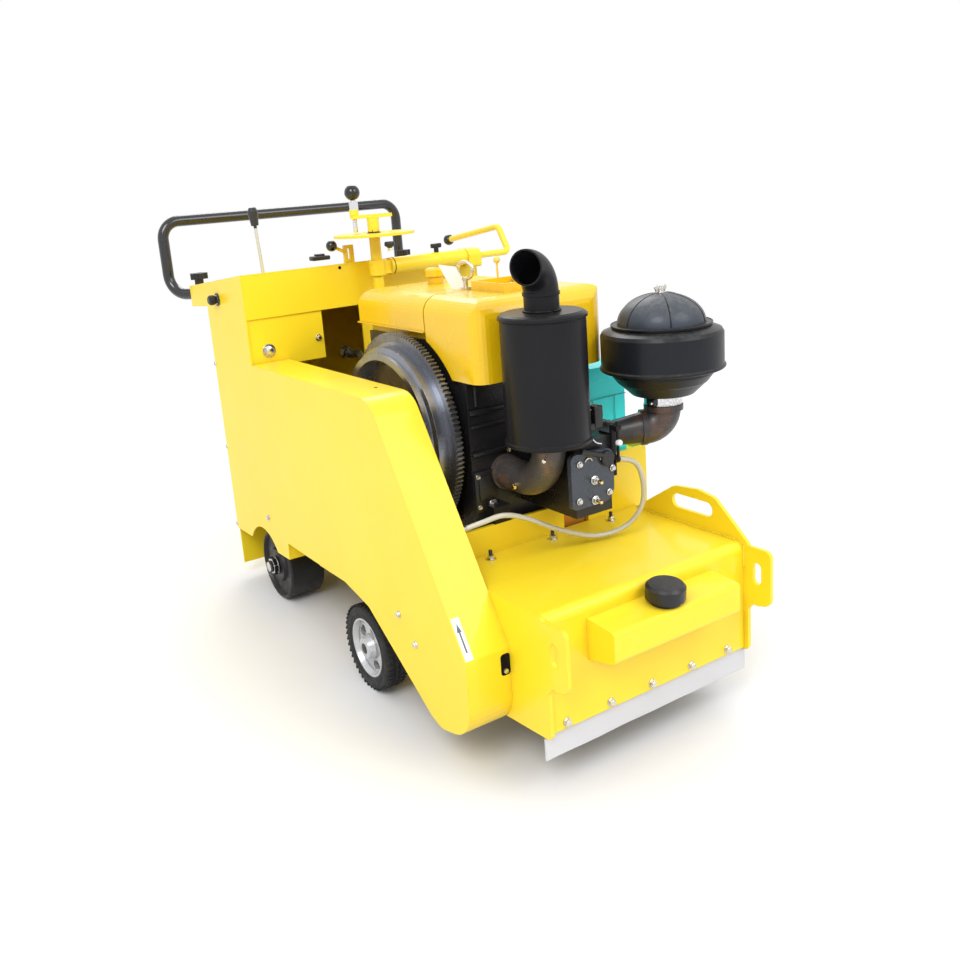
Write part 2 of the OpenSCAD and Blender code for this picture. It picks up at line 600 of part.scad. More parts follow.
module tail_pipe() translate([muffler_x, muffler_y, muffler_z + muffler_h]) {
    translate([0, 0, -1]) cylinder(r = exhaust_r, h = tail_neck + 1);
    translate([0, 0, tail_neck - 3]) cylinder(r = exhaust_r + 2, h = 6);
    rotate([0, 0, -66]) translate([tail_bend, 0, tail_neck]) rotate([0, 0, 180])
        quarter(tail_bend, exhaust_r, exhaust_r - tail_wall);
}

// Air cleaner and its pipe to the head
cleaner_x = -172;
cleaner_y = 208;
cleaner_z = 628;
neck_h = 22;
intake_bend = intake_r + 4;
pipe_r = 24;
pipe_reach = 116;
pipe_z = 551;
elbow_top = cleaner_z - neck_h - 8;
function along_intake(t, z) = [cleaner_x + t * cos(in_dir), cleaner_y + t * sin(in_dir), z];
port_end = along_intake(pipe_reach, pipe_z);
dome_r = cleaner_r - 37;
dome_z = 138;
dome_h = 58;
module air_cleaner() color(black) on_ground() translate([cleaner_x, cleaner_y, cleaner_z]) rotate_extrude($fn = 96)
    polygon(concat([[0, -neck_h], [intake_r + 3, -neck_h], [intake_r + 3, 0], [cleaner_r - 60, 0],
        [cleaner_r - 37, 22], [cleaner_r - 34, 24], [cleaner_r - 22, 40], [cleaner_r - 19, 50], [cleaner_r - 2, 50],
        [cleaner_r, 52], [cleaner_r, 55], [cleaner_r - 3, 58], [cleaner_r - 3, 118], [cleaner_r - 7, 125],
        [cleaner_r - 25, dome_z - 6], [cleaner_r - 29, dome_z - 6], [cleaner_r - 29, dome_z - 3], [cleaner_r - 24, dome_z - 3],
        [cleaner_r - 24, dome_z]], [for (a = [0:11:77]) [dome_r * cos(a), dome_z + dome_h * sin(a)]],
        [[12, dome_z + dome_h], [0, dome_z + dome_h]]));
// Elbow, its collar and clamp bands, and the narrowing pipe that falls to the head
elbow_end = along_intake(intake_bend, elbow_top - intake_bend);
pipe_way = unit(port_end - elbow_end);
module intake_elbow() color(black) on_ground() {
    translate(along_intake(0, elbow_top)) rotate([0, 0, in_dir + 180]) translate([-intake_bend, 0, 0])
        rotate([0, 90, 0]) quarter(intake_bend, intake_r);
    translate(along_intake(0, elbow_top - 4)) cylinder(r = intake_r + 5, h = 12);
    translate(elbow_end) rotate([0, 90, in_dir]) translate([0, 0, -2]) cylinder(r = intake_r + 2, h = 11);
    taper(elbow_end + 3 * pipe_way, port_end - 4 * pipe_way, intake_r - 2, pipe_r);
    translate(port_end) rotate([0, 90, in_dir]) translate([0, 0, -9]) cylinder(r = pipe_r + 5, h = 9);
}
module throttle_link() color(black) on_ground() {
    block(head_front, head_front + 6, 50, 60, 496, 596);
    block(head_front - 30, head_front, head_y[1], 60, 540, 580);
    bar([head_front + 16, 56, 604], [head_front + 16, 56, link_z], 3);
    rod(head_front + 16, 590, 5, 50, 62);
    block(head_front, head_front + 20, 51, 59, 586, 594);
    rod(head_front + 8, link_z, 8, 50, 62);
}

// Battery in its tray beside the engine
tray_z = 470;
tray_y = 116;
tray_back = -580;
battery_l = 250;
battery_h = 168;
lid_h = 28;
module battery_box() color(yellow) on_ground() {
    difference() {
        block(tray_back, bulkhead_x, tray_y, panel_y - sheet_t - 6, deck_top, tray_z + 10);
        block(tray_back + 4, bulkhead_x - 4, tray_y + 4, panel_y - sheet_t - 10, tray_z, tray_z + 11);
    }
    block(case_front + 8, case_front + 12, 42, tray_y + 1, deck_top, 400);
}
module battery() color("#35b5a8") on_ground() {
    block(tray_back + 8, tray_back + 8 + battery_l, tray_y + 6, 242, tray_z, tray_z + battery_h);
    block(tray_back + 6, tray_back + 10 + battery_l, tray_y + 5, 244, tray_z + battery_h, tray_z + battery_h + lid_h);
    for (x = [30, battery_l - 22]) translate([tray_back + x, 150, tray_z + battery_h + lid_h]) cylinder(r = 9, h = 14);
}

// Hose from the guard to the throttle linkage: rings along a curve through the points
link_z = 529;
hose_r = 5;
hose_sides = 10;
hose_steps = 3;
hose_points = [[-226, in_y, 438], [-226, -286, 440], [-226, -250, 445], [-207, -212, 457], [-198, -174, 462],
    [-200, -123, 443], [-200, -45, 399], [-196, 38, 366], [-180, 100, 372], [-158, 126, 410], [-148, 126, 460],
    [-147, 108, 508], [head_front + 8, 62, link_z]];
hose_last = (len(hose_points) - 1) * hose_steps;
function curve(p, i, t) = let (a = p[max(i - 1, 0)], b = p[i], c = p[i + 1], d = p[min(i + 2, len(p) - 1)])
    0.5 * (2 * b + (c - a) * t + (2 * a - 5 * b + 4 * c - d) * t * t + (3 * b - a - 3 * c + d) * t * t * t);
hose_line = [for (j = [0:hose_last]) j == hose_last ? hose_points[len(hose_points) - 1] :
    curve(hose_points, floor(j / hose_steps), (j % hose_steps) / hose_steps)];
function hose_dir(j) = j == 0 ? [0, 1, 0] : j == hose_last ? [0, -1, 0] : unit(hose_line[j + 1] - hose_line[j - 1]);
function hose_ring(j) = let (d = hose_dir(j), a = unit(cross(d, [1, 0, 0])), b = cross(d, a))
    [for (k = [0:hose_sides - 1], t = [k * 360 / hose_sides]) hose_line[j] + hose_r * (cos(t) * a + sin(t) * b)];
module hose() color("#e6e2d2") on_ground() polyhedron(
    [for (j = [0:hose_last]) each hose_ring(j)],
    concat([[for (k = [0:hose_sides - 1]) k]], [[for (k = [hose_sides - 1:-1:0]) hose_last * hose_sides + k]],
        [for (j = [0:hose_last - 1], k = [0:hose_sides - 1], m = [(k + 1) % hose_sides]) each [
            [j * hose_sides + k, (j + 1) * hose_sides + k, j * hose_sides + m],
            [j * hose_sides + m, (j + 1) * hose_sides + k, (j + 1) * hose_sides + m]]]));

// Console: sloped top with a boxed lip at the rear, front sheet and rear wall
cf = -console_front;
handle_in = guard_y - 44.5;
handle_low = 826;
// Where the handle's sockets end inside the console
socket_end = -1060;
module console() color(yellow) on_ground() difference() {
    union() {
        plate(in_y, panel_y - sheet_t - in_y) polygon([[cf, console_top], [ce, console_z(ce)], [ce, console_z(ce) - lip_h],
            [-console_rear - 4, lip_z], [8 - console_rear, lip_z], [8 - console_rear, lip_z + sheet_t],
            [-console_rear - 4, lip_z + sheet_t], [ce + sheet_t, console_z(ce) - lip_h + sheet_t + 0.3],
            [ce + sheet_t, console_z(ce) - sheet_t + 0.4], [cf - sheet_t, console_top - sheet_t], [cf, console_top - sheet_t]]);
        on_both_sides() block(ce + 1, socket_end, in_y, mid_y - handle_in + handle_r + 4, lip_z, handle_low + handle_r + 3);
    }
    on_both_sides() translate([ce - 1, mid_y - handle_in, handle_low]) rotate([0, 90, 0])
        cylinder(r = handle_r + fit, h = socket_end - ce + 2);
}
module console_front_sheet() color(yellow) on_ground() {
    cross_plate(cf - sheet_t, sheet_t) translate([in_y, console_top - 102])
        square([panel_y - sheet_t - in_y, 102 - sheet_t]);
    cross_plate(cf - 2 * sheet_t, sheet_t) difference() {
        translate([in_y, deck_top]) square([panel_y - sheet_t - in_y, console_top - 90 - deck_top]);
        translate([-153, 600]) square([105, console_top - 102 - 600]);
        translate([-250, 600]) square([202, 74]);
    }
}
module rear_wall() color(yellow) on_ground() block(-console_rear, sheet_t - console_rear, in_y, panel_y - sheet_t, flap_bottom, lip_z);
// Everything under the sloped top's surface, taken off the foot of what stands on it
module under_top() plate(-500, 1000) polygon([[cf + 40, console_z(cf + 40)], [ce - 40, console_z(ce - 40)],
    [ce - 40, console_z(ce) - 40], [cf + 40, console_z(ce) - 40]]);
module star() {
    circle(17);
    for (a = [0:72:288]) rotate([0, 0, a]) translate([16, 0]) circle(7, $fn = 32);
}
star_x = ce + 18;
side_knob_x = -1095;
module clamp_knobs() color(black) on_ground() on_both_sides() {
    difference() {
        translate([star_x, mid_y - handle_in, console_z(star_x)]) {
            translate([0, 0, -4]) cylinder(r = 11, h = 20);
            translate([0, 0, 14]) linear_extrude(15) star();
        }
        under_top();
    }
    translate([side_knob_x, -guard_y, handle_low]) rotate([90, 0, 0]) {
        cylinder(r = 15, h = 3);
        translate([0, 0, 3]) cylinder(r1 = 8, r2 = 12, h = 8);
        translate([0, 0, 11]) cylinder(r = 12, h = 8);
        translate([0, 0, 19]) cylinder(r1 = 12, r2 = 8, h = 4);
    }
}
// Handle: from the grip bar's corners down its legs and forwards into the sockets
grip_bend = 45;
leg_bend = 50;
socket_bend = 26;
handle_half = [[-handle_x, handle_w / 2, handle_z], [-handle_x, handle_w / 2, handle_low],
    [ce - 10, handle_in, handle_low], [socket_end - 4, handle_in, handle_low]];
module handle() color(black) on_ground() translate([0, mid_y, 0]) bent_bar(
    concat([for (i = [3:-1:0]) [handle_half[i].x, -handle_half[i].y, handle_half[i].z]], handle_half),
    [socket_bend, leg_bend, grip_bend, grip_bend, leg_bend, socket_bend], handle_r);
drive_x = -1110;
drive_l = 126;
module drive_lever() color(black) on_ground() difference() {
    translate([drive_x, -214, console_z(drive_x) - 6]) rotate([3, 0, 0]) {
        cylinder(r = 4, h = drive_l + 10);
        translate([0, 0, drive_l]) rotate_extrude() polygon([[0, 0], [9, 0], [13, 34], [8, 43], [0, 43]]);
    }
    under_top();
}
module throttle_lever() color(yellow) on_ground() difference() {
    union() {
        difference() {
            block(cf - 14, cf - 8, -76, -50, console_top - 8, console_top + 41);
            block(cf - 15, cf - 7, -66, -60, console_top + 8, console_top + 33);
        }
        bar([cf - 11, -74, console_top + 26], [cf - 3, -109, console_top + 43], 4);
        translate([cf - 3, -109, console_top + 43]) sphere(13, $fn = 32);
    }
    under_top();
}

// Depth crank on its column, cross tube and clutch lever
module column() color(yellow) on_ground() translate([-column_x, column_y, 0]) difference() {
    union() {
        translate([0, 0, deck_top]) cylinder(r = column_r, h = disc_z - deck_top);
        translate([0, 0, deck_top]) cylinder(r = column_r + 20, h = 8);
        translate([0, 0, disc_z - 3]) cylinder(r = disc_r, h = 6);
    }
    translate([0, 0, deck_top - 1]) cylinder(r = screw_r + fit, h = disc_z - deck_top + 6);
    for (a = [0:30:330]) rotate([0, 0, a]) translate([ball_out, 0, disc_z - 4]) cylinder(r = 6, h = 8, $fn = 24);
}
ball_out = 42;
arm_z = disc_z + 38;
module crank() color(yellow) on_ground() translate([-column_x, column_y, 0]) {
    translate([0, 0, bar_z + bar_r + 8]) cylinder(r = screw_r, h = arm_z + 8 - bar_z - bar_r - 8);
    translate([0, 0, disc_z + 6]) cylinder(r = 14, h = arm_z - disc_z - 6);
    rotate([0, 0, 246]) {
        translate([0, 0, arm_z]) linear_extrude(8) polygon(loop([-36, 0, 10], [ball_out, 0, 10]));
        translate([ball_out, 0, disc_z + 8]) cylinder(r = 5, h = arm_z - disc_z - 4);
        translate([ball_out, 0, arm_z + 8]) cylinder(r = 11, h = 30);
        translate([ball_out, 0, arm_z + 38]) cylinder(r = 6, h = 8);
        translate([ball_out, 0, arm_z + 60]) sphere(ball_r);
    }
}
module cross_tube() color(yellow) on_ground() {
    difference() {
        union() {
            translate([-column_x, column_y, cross_z - 18]) cylinder(r = column_r + 6, h = 36);
            block(-column_x - 12, 12 - column_x, column_y + 8, column_y + 34, cross_z - 16, cross_z + 16);
        }
        translate([-column_x, column_y, cross_z - 21]) cylinder(r = column_r, h = 42);
    }
    rod(-column_x, cross_z, cross_r, column_y + 32, 226);
    difference() {
        plate(225, 37) outline([[cf, cross_z - 26, 0], [24 - column_x, cross_z - 26, 8], [24 - column_x, cross_z + 20, 18],
            [-column_x - 24, cross_z + 20, 18], [cf, cross_z + 6, 0]]);
        rod(-column_x, cross_z, lever_r + fit, 227, 263);
    }
}
lever_r = 8;
lever_y = 363;
clutch_ball = [-1162, lever_y, 901];
// Round bar from the cross tube's flange, turned up and then back to its ball
module clutch_lever() color(yellow) on_ground() {
    bent_bar([[-column_x, 230, cross_z], [-column_x, lever_y, cross_z], [-919, lever_y, 938], clutch_ball],
        [14, 18], lever_r);
    translate(clutch_ball) rotate([0, 0, 90]) sphere(15, $fn = 48);
}

// Wheels: front axle fixed in the frame, rear axle in the fork that the crank's screw lowers
module front_axle() color(black) on_ground() {
    rod(-front_x, front_z, axle_r, -wheel_out + 4, 2 * mid_y + wheel_out - 4);
    on_both_sides() rod(-front_x, front_z, axle_r + 7, -wheel_out + front_w + 2, -rail_out - 38);
}
module tyre() color(rubber) turned(-front_x, front_z) polygon([
    [rim_r, wheel_out - front_w + 2], [rim_r, wheel_out - 2], [rim_r + 6, wheel_out], [front_r - 8, wheel_out],
    [front_r - 2, wheel_out - 4], [front_r, wheel_out - 12], [front_r, wheel_out - front_w + 12],
    [front_r - 2, wheel_out - front_w + 4], [front_r - 8, wheel_out - front_w], [rim_r + 6, wheel_out - front_w]]);
module rim() color("#c4c8cb") {
    turned(-front_x, front_z) polygon([[rim_r - 7, wheel_out - front_w + 2], [rim_r, wheel_out - front_w + 2],
        [rim_r, wheel_out - 2], [rim_r - 4, wheel_out - 2], [rim_r - 9, wheel_out - 12], [rim_r - 9, wheel_out - 26]]);
    turned(-front_x, front_z) polygon([[axle_r + fit, wheel_out - front_w], [27, wheel_out - front_w], [27, wheel_out - 10],
        [22, wheel_out + 3], [0, wheel_out + 5], [0, wheel_out - 1], [axle_r + fit, wheel_out - 1]]);
    plate(-wheel_out + 14, 11) translate([-front_x, front_z]) difference() {
        circle(rim_r - 8);
        circle(26);
        for (a = [0:72:288]) rotate([0, 0, a]) outline([[31, -9, 3], [rim_r - 13, -19, 7], [rim_r - 13, 19, 7], [31, 9, 3]]);
    }
}
module other_side() translate([0, 2 * mid_y, 0]) mirror([0, 1, 0]) children();
module tyre_left() on_ground() tyre();
module tyre_right() on_ground() other_side() tyre();
module rim_left() on_ground() rim();
module rim_right() on_ground() other_side() rim();
bar_r = 16;
bar_z = pivot_z + (rear_z - pivot_z) * (column_x - pivot_x) / (rear_x - pivot_x);
module lift_fork() color(black) on_ground() {
    rod(-pivot_x, pivot_z, pivot_r, -rail_in - 24, 2 * mid_y + rail_in + 24);
    on_both_sides() plate(mid_y - arm_y, 15) polygon(loop([-pivot_x, pivot_z, 24], [-rear_x, rear_z, 26]));
    rod(-column_x, bar_z, bar_r, mid_y - arm_y, mid_y + arm_y);
    rod(-rear_x, rear_z, axle_r, -rear_out - 18, 2 * mid_y + rear_out + 18);
    on_both_sides() {
        rod(-rear_x, rear_z, axle_r + 9, -rear_out + rear_w + 2, -rear_out + rear_w + 8);
        translate([-rear_x, -rear_out - 4, rear_z]) rotate([90, 0, 0]) cylinder(r = axle_r + 8, h = 10, $fn = 6);
    }
}
module roller() color(black) turned(-rear_x, rear_z) polygon([
    [axle_r + fit, rear_out - rear_w], [40, rear_out - rear_w], [44, rear_out - rear_w + 6], [rear_r - 12, rear_out - rear_w + 6],
    [rear_r - 8, rear_out - rear_w], [rear_r - 4, rear_out - rear_w], [rear_r, rear_out - rear_w + 4], [rear_r, rear_out - 4],
    [rear_r - 4, rear_out], [rear_r - 8, rear_out], [rear_r - 12, rear_out - 8], [44, rear_out - 8], [40, rear_out],
    [axle_r + fit, rear_out]]);
module roller_left() on_ground() roller();
module roller_right() on_ground() other_side() roller();

hood();
side_plate_left();
side_plate_right();
skirt();
water_tank();
water_cap();
bulkhead();
drum_bearings();
drum();
picks();
drum_pulley();
belts();
guard_plate();
guard_strip();
frame_rails();
side_panel();
deck();
engine_feet();
crankcase();
cylinder_head();
rocker_cover();
hopper();
fuel_tank();
fuel_cap();
float_gauge();
lifting_eye();
flywheel();
ring_gear();
exhaust_elbow();
muffler();
intake_elbow();
air_cleaner();
throttle_link();
battery_box();
battery();
hose();
console();
console_front_sheet();
rear_wall();
clamp_knobs();
handle();
drive_lever();
throttle_lever();
column();
crank();
cross_tube();
clutch_lever();
front_axle();
tyre_left();
tyre_right();
rim_left();
rim_right();
lift_fork();
roller_left();
roller_right();
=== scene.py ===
import math
import random

import bmesh
import bpy
from mathutils import Matrix, Vector


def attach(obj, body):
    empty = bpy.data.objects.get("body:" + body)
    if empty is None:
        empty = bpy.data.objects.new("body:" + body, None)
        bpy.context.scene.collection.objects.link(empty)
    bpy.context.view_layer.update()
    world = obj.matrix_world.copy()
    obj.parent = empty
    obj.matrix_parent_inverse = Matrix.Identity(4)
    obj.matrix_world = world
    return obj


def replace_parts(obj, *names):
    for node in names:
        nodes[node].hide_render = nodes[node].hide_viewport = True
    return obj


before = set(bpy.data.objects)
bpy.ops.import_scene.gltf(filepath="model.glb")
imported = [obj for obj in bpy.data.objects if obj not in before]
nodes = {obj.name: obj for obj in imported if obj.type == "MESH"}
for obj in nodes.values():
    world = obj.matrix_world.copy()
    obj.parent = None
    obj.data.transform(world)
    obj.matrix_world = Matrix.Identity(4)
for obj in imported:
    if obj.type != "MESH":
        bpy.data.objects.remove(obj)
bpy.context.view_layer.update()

scene = bpy.context.scene

# The machine is parked nose up, so its own axes lean. Own sizes are in millimetres, x forward from the hood's front
stance = {"lean": 4.5, "foreAft": 0.7075, "sideways": 0.001, "unit": 0.001}
upright = Matrix.Rotation(-math.radians(stance["lean"]), 4, "Y")
machine = Matrix.Translation((stance["foreAft"], stance["sideways"], 0)) @ upright @ Matrix.Scale(stance["unit"], 4)
forwards, backwards = (1, 0, 0), (-1, 0, 0)
leftwards, rightwards, upwards = (0, -1, 0), (0, 1, 0), (0, 0, 1)


# Turns a spot in the machine's own millimetres into the scene's metres
def place(x, y, z):
    return machine @ Vector((x, y, z))


# Shader nodes


# Links a socket to another, or sets it to a plain value
def feed(tree, target, value):
    if isinstance(value, bpy.types.NodeSocket):
        tree.links.new(value, target)
    else:
        target.default_value = (*value, 1) if target.type == "RGBA" else value


# Adds a node, sets its own options, then feeds the inputs that are given
def addNode(tree, kind, inputs, **options):
    node = tree.nodes.new("ShaderNode" + kind)
    for key, value in options.items():
        setattr(node, key, value)
    for key, value in inputs.items():
        feed(tree, node.inputs[key], value)
    return node


def mathOf(tree, operation, a, b, clamp=False):
    return addNode(tree, "Math", {0: a, 1: b}, operation=operation, use_clamp=clamp).outputs[0]


def vectorMath(tree, operation, inputs):
    return addNode(tree, "VectorMath", inputs, operation=operation).outputs


def mixValue(tree, factor, a, b):
    return addNode(tree, "Mix", {0: factor, 2: a, 3: b}).outputs[0]


def mixColor(tree, factor, a, b, blend="MIX"):
    return addNode(tree, "Mix", {0: factor, 6: a, 7: b}, data_type="RGBA", blend_type=blend).outputs[2]


def noise(tree, coords, scale, detail=3.0, roughness=0.5):
    inputs = {"Vector": coords, "Scale": scale, "Detail": detail, "Roughness": roughness}
    return addNode(tree, "TexNoise", inputs).outputs["Fac"]


def remap(tree, value, low, high, toLow=0.0, toHigh=1.0):
    inputs = {"Value": value, "From Min": low, "From Max": high, "To Min": toLow, "To Max": toHigh}
    return addNode(tree, "MapRange", inputs, interpolation_type="SMOOTHSTEP").outputs["Result"]


def objectSpace(tree):
    return addNode(tree, "TexCoord", {}).outputs["Object"]


# 1 for the rays that show the backdrop: those of the camera, and what metal and glass reflect or let through
def backdropRays(tree):
    rays = addNode(tree, "LightPath", {}).outputs
    seen = mathOf(tree, "MAXIMUM", rays["Is Camera Ray"], rays["Is Glossy Ray"])
    return mathOf(tree, "MAXIMUM", seen, rays["Is Transmission Ray"])


def startMaterial(name, roughness, metallic=0.0, gloss=0.0, glossRoughness=0.06, specular=0.5):
    material = bpy.data.materials.new(name)
    material.use_nodes = True
    shader = material.node_tree.nodes["Principled BSDF"]
    for key, value in (("Roughness", roughness), ("Metallic", metallic), ("Coat Weight", gloss),
                       ("Coat Roughness", glossRoughness), ("Specular IOR Level", specular)):
        shader.inputs[key].default_value = value
    return material, material.node_tree, shader


# Camera and stage
camera = {"at": (1.83116, -1.13496, 1.15149), "ahead": (-0.78919, 0.53219, -0.30651), "up": (-0.23844, 0.19443, 0.9515),
          "lens": 36.93, "sensor": 36, "near": 0.05, "shiftDown": -0.0552}


def makeCamera():
    data = bpy.data.cameras.new("photoCamera")
    data.lens = camera["lens"]
    data.sensor_width = camera["sensor"]
    data.shift_y = camera["shiftDown"]
    data.clip_start = camera["near"]
    eye = bpy.data.objects.new("photoCamera", data)
    scene.collection.objects.link(eye)
    ahead = Vector(camera["ahead"]).normalized()
    side = ahead.cross(Vector(camera["up"])).normalized()
    up = side.cross(ahead)
    turn = Matrix((side, up, -ahead)).transposed().to_4x4()
    eye.matrix_world = Matrix.Translation(camera["at"]) @ turn
    scene.camera = eye


stage = {"size": 60, "floor": (0.76, 0.76, 0.77), "roughness": 0.85, "specular": 0.1, "fadeFrom": 1.5, "fadeTo": 3.4,
         "skyFrom": -0.05, "skyTo": 0.75, "skyLow": 0.36, "skyTop": 1.22,
         # name, place, aim, size, watts
         "lamps": [("keyLamp", (2.4, -3.0, 4.0), (0, 0, 0.4), 2.4, 115),
                   ("frontLamp", (3.4, 1.4, 3.4), (0, 0, 0.4), 2.6, 58),
                   ("rearLamp", (-3.4, 1.6, 3.6), (0, 0, 0.4), 2.6, 60)]}


# The floor turns to the backdrop's white with distance, so no horizon shows
def makeFloor():
    bpy.ops.mesh.primitive_plane_add(size=stage["size"])
    floor = bpy.context.object
    floor.name = "floor"
    pale, tree, shader = startMaterial("floorPale", stage["roughness"], specular=stage["specular"])
    feed(tree, shader.inputs["Base Color"], stage["floor"])
    reach = vectorMath(tree, "LENGTH", {0: objectSpace(tree)})["Value"]
    far = remap(tree, reach, stage["fadeFrom"], stage["fadeTo"])
    white = addNode(tree, "Emission", {})
    blend = addNode(tree, "MixShader", {0: mathOf(tree, "MULTIPLY", far, backdropRays(tree)),
                                        1: shader.outputs[0], 2: white.outputs[0]})
    feed(tree, tree.nodes["Material Output"].inputs["Surface"], blend.outputs[0])
    floor.data.materials.append(pale)


def makeLamps():
    for name, at, aim, size, watts in stage["lamps"]:
        lamp = bpy.data.lights.new(name, "AREA")
        lamp.shape = "DISK"
        lamp.size = size
        lamp.energy = watts
        holder = bpy.data.objects.new(name, lamp)
        scene.collection.objects.link(holder)
        holder.location = at
        holder.rotation_euler = (Vector(aim) - Vector(at)).to_track_quat("-Z", "Y").to_euler()


# A sky that is brighter overhead lights the model; the camera and reflections see plain white
def makeWorld():
    scene.world = bpy.data.worlds.new("studio")
    scene.world.use_nodes = True
    tree = scene.world.node_tree
    sky = tree.nodes["Background"].inputs
    feed(tree, sky["Color"], (1, 1, 1))
    rise = addNode(tree, "SeparateXYZ", {0: addNode(tree, "TexCoord", {}).outputs["Generated"]}).outputs["Z"]
    level = remap(tree, rise, stage["skyFrom"], stage["skyTo"], stage["skyLow"], stage["skyTop"])
    feed(tree, sky["Strength"], mixValue(tree, backdropRays(tree), level, 1))


makeCamera()
makeFloor()
makeLamps()
makeWorld()
scene.view_settings.view_transform = "Standard"
print("camera and stage ready")

# Mesh helpers. A mesh is built in the machine's own millimetres and moved to its place at the end


def smoothFaces(data, creaseAngle):
    data.shade_smooth()
    data.set_sharp_from_angle(angle=math.radians(creaseAngle))


def newPiece(name, mesh, materials, slotName, body="machine", creaseAngle=40):
    mesh.transform(machine)
    bmesh.ops.recalc_face_normals(mesh, faces=mesh.faces)
    data = bpy.data.meshes.new(name)
    mesh.to_mesh(data)
    mesh.free()
    for material in materials:
        data.materials.append(material)
    piece = bpy.data.objects.new(name, data)
    scene.collection.objects.link(piece)
    smoothFaces(data, creaseAngle)
    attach(piece, body)
    return piece


def turns(count):
    return [2 * math.pi * k / count for k in range(count)]


# Faces between neighbouring rings of points; a ring of one point closes a tip
def skinRings(mesh, rings, steps, mat):
    for low, high in zip(rings, rings[1:]):
        for k in range(steps):
            j = (k + 1) % steps
            corners = [low[k % len(low)], low[j % len(low)], high[j % len(high)], high[k % len(high)]]
            mesh.faces.new(list(dict.fromkeys(corners))).material_index = mat


def capRings(mesh, rings, mat):
    for ring in (rings[0], rings[-1]):
        mesh.faces.new(ring).material_index = mat


# Revolves (radius, height) points about an axis through at
def lathe(mesh, profile, at, axis, steps=32, mat=0, turn=0.0):
    facing = Vector(axis).to_track_quat("Z", "Y").to_matrix().to_4x4()
    seat = Matrix.Translation(at) @ facing @ Matrix.Rotation(turn, 4, "Z")
    rings = []
    for radius, height in profile:
        spots = [(radius * math.cos(a), radius * math.sin(a), height) for a in turns(steps if radius else 1)]
        rings.append([mesh.verts.new(seat @ Vector(spot)) for spot in spots])
    skinRings(mesh, rings, steps, mat)


# A round bar along points, with a radius for each point
def tube(mesh, points, radii, sides, mat=0):
    last = len(points) - 1
    normal = None
    rings = []
    for i, (point, radius) in enumerate(zip(points, radii)):
        ahead = (points[min(i + 1, last)] - points[max(i - 1, 0)]).normalized()
        if normal is None:
            normal = ahead.orthogonal().normalized()
        normal = (normal - ahead * normal.dot(ahead)).normalized()
        other = ahead.cross(normal)
        around = [math.cos(a) * normal + math.sin(a) * other for a in turns(sides)]
        rings.append([mesh.verts.new(point + radius * out) for out in around])
    skinRings(mesh, rings, sides, mat)
    capRings(mesh, rings, mat)


def sweep(mesh, points, radius, sides, mat=0):
    tube(mesh, [Vector(p) for p in points], [radius] * len(points), sides, mat)


# A thin plate between two outlines of as many points
def plate(mesh, front, back, mat=0):
    rings = [[mesh.verts.new(p) for p in outline] for outline in (front, back)]
    capRings(mesh, rings, mat)
    skinRings(mesh, rings, len(front), mat)


# A box between two corners, its edges softened
def slab(mesh, low, high, bevel, mat=0, turn=None):
    low, high = Vector(low), Vector(high)
    made = bmesh.ops.create_cube(mesh, size=1)["verts"]
    middle, size = (low + high) / 2, high - low
    for v in made:
        v.co = Vector((v.co.x * size.x, v.co.y * size.y, v.co.z * size.z))
        v.co = middle + (turn @ v.co if turn else v.co)
    for face in {f for v in made for f in v.link_faces}:
        face.material_index = mat
    if bevel:
        edges = {e for v in made for e in v.link_edges}
        bmesh.ops.bevel(mesh, geom=list(edges), offset=bevel, segments=2, affect="EDGES", profile=0.5, material=mat)


# Points on an arc in a plane across one axis, angles in degrees
def arcPoints(center, radius, start, end, steps, plane):
    found = []
    for k in range(steps + 1):
        a = math.radians(start + (end - start) * k / steps)
        u, v = radius * math.cos(a), radius * math.sin(a)
        found.append(Vector(center) + Vector({"yz": (0, u, v), "xy": (u, v, 0)}[plane]))
    return found


# Fasteners sit at a spot and face along an axis. Washers and domes share one set of proportions
fastener = {"washer": 1.6, "washerEdge": 1.2, "chamfer": 0.86, "domeRadius": 6, "domeHeight": 3, "socket": 1.5,
            "nutAcross": 13, "nutHeight": 7, "threads": 8, "pitch": 1.2, "root": 0.27, "crest": 0.31, "tip": 10.2}


def hexBolt(mesh, at, axis, across, head, washer=0.0, turn=0.3, mat=0):
    r, thick = across / math.sqrt(3), fastener["washer"]
    if washer:
        rim = [(0, 0), (washer, 0), (washer, fastener["washerEdge"]), (washer - 0.4, thick), (0, thick)]
        lathe(mesh, rim, at, axis, 24, mat)
        at = Vector(at) + Vector(axis) * thick
    lathe(mesh, [(0, 0), (r, 0), (r, head - 1), (r * fastener["chamfer"], head), (0, head)], at, axis, 6, mat, turn)


def domeBolt(mesh, at, axis):
    radius, height = fastener["domeRadius"], fastener["domeHeight"]
    dome = [(radius * math.cos(a), height * math.sin(a)) for a in (math.radians(d) for d in (15, 35, 55, 75))]
    low = height - fastener["socket"]
    lathe(mesh, [(0, 0), (radius, 0), *dome, (radius * 0.25, height), (radius * 0.25, low), (0, low)], at, axis, 24)


# A nut on its washer, with the stud's threads standing out of it
def studNut(mesh, at, axis):
    across, pitch, tip = fastener["nutAcross"], fastener["pitch"], fastener["tip"]
    hexBolt(mesh, at, axis, across, fastener["nutHeight"], across * 0.82)
    threads = []
    for k in range(fastener["threads"]):
        threads += [(across * fastener["root"], k * pitch), (across * fastener["crest"], (k + 0.5) * pitch)]
    seat = Vector(at) + Vector(axis) * (fastener["nutHeight"] + fastener["washer"])
    lathe(mesh, [(0, 0), *threads, (across * 0.22, tip), (0, tip)], seat, axis, 16, 1)


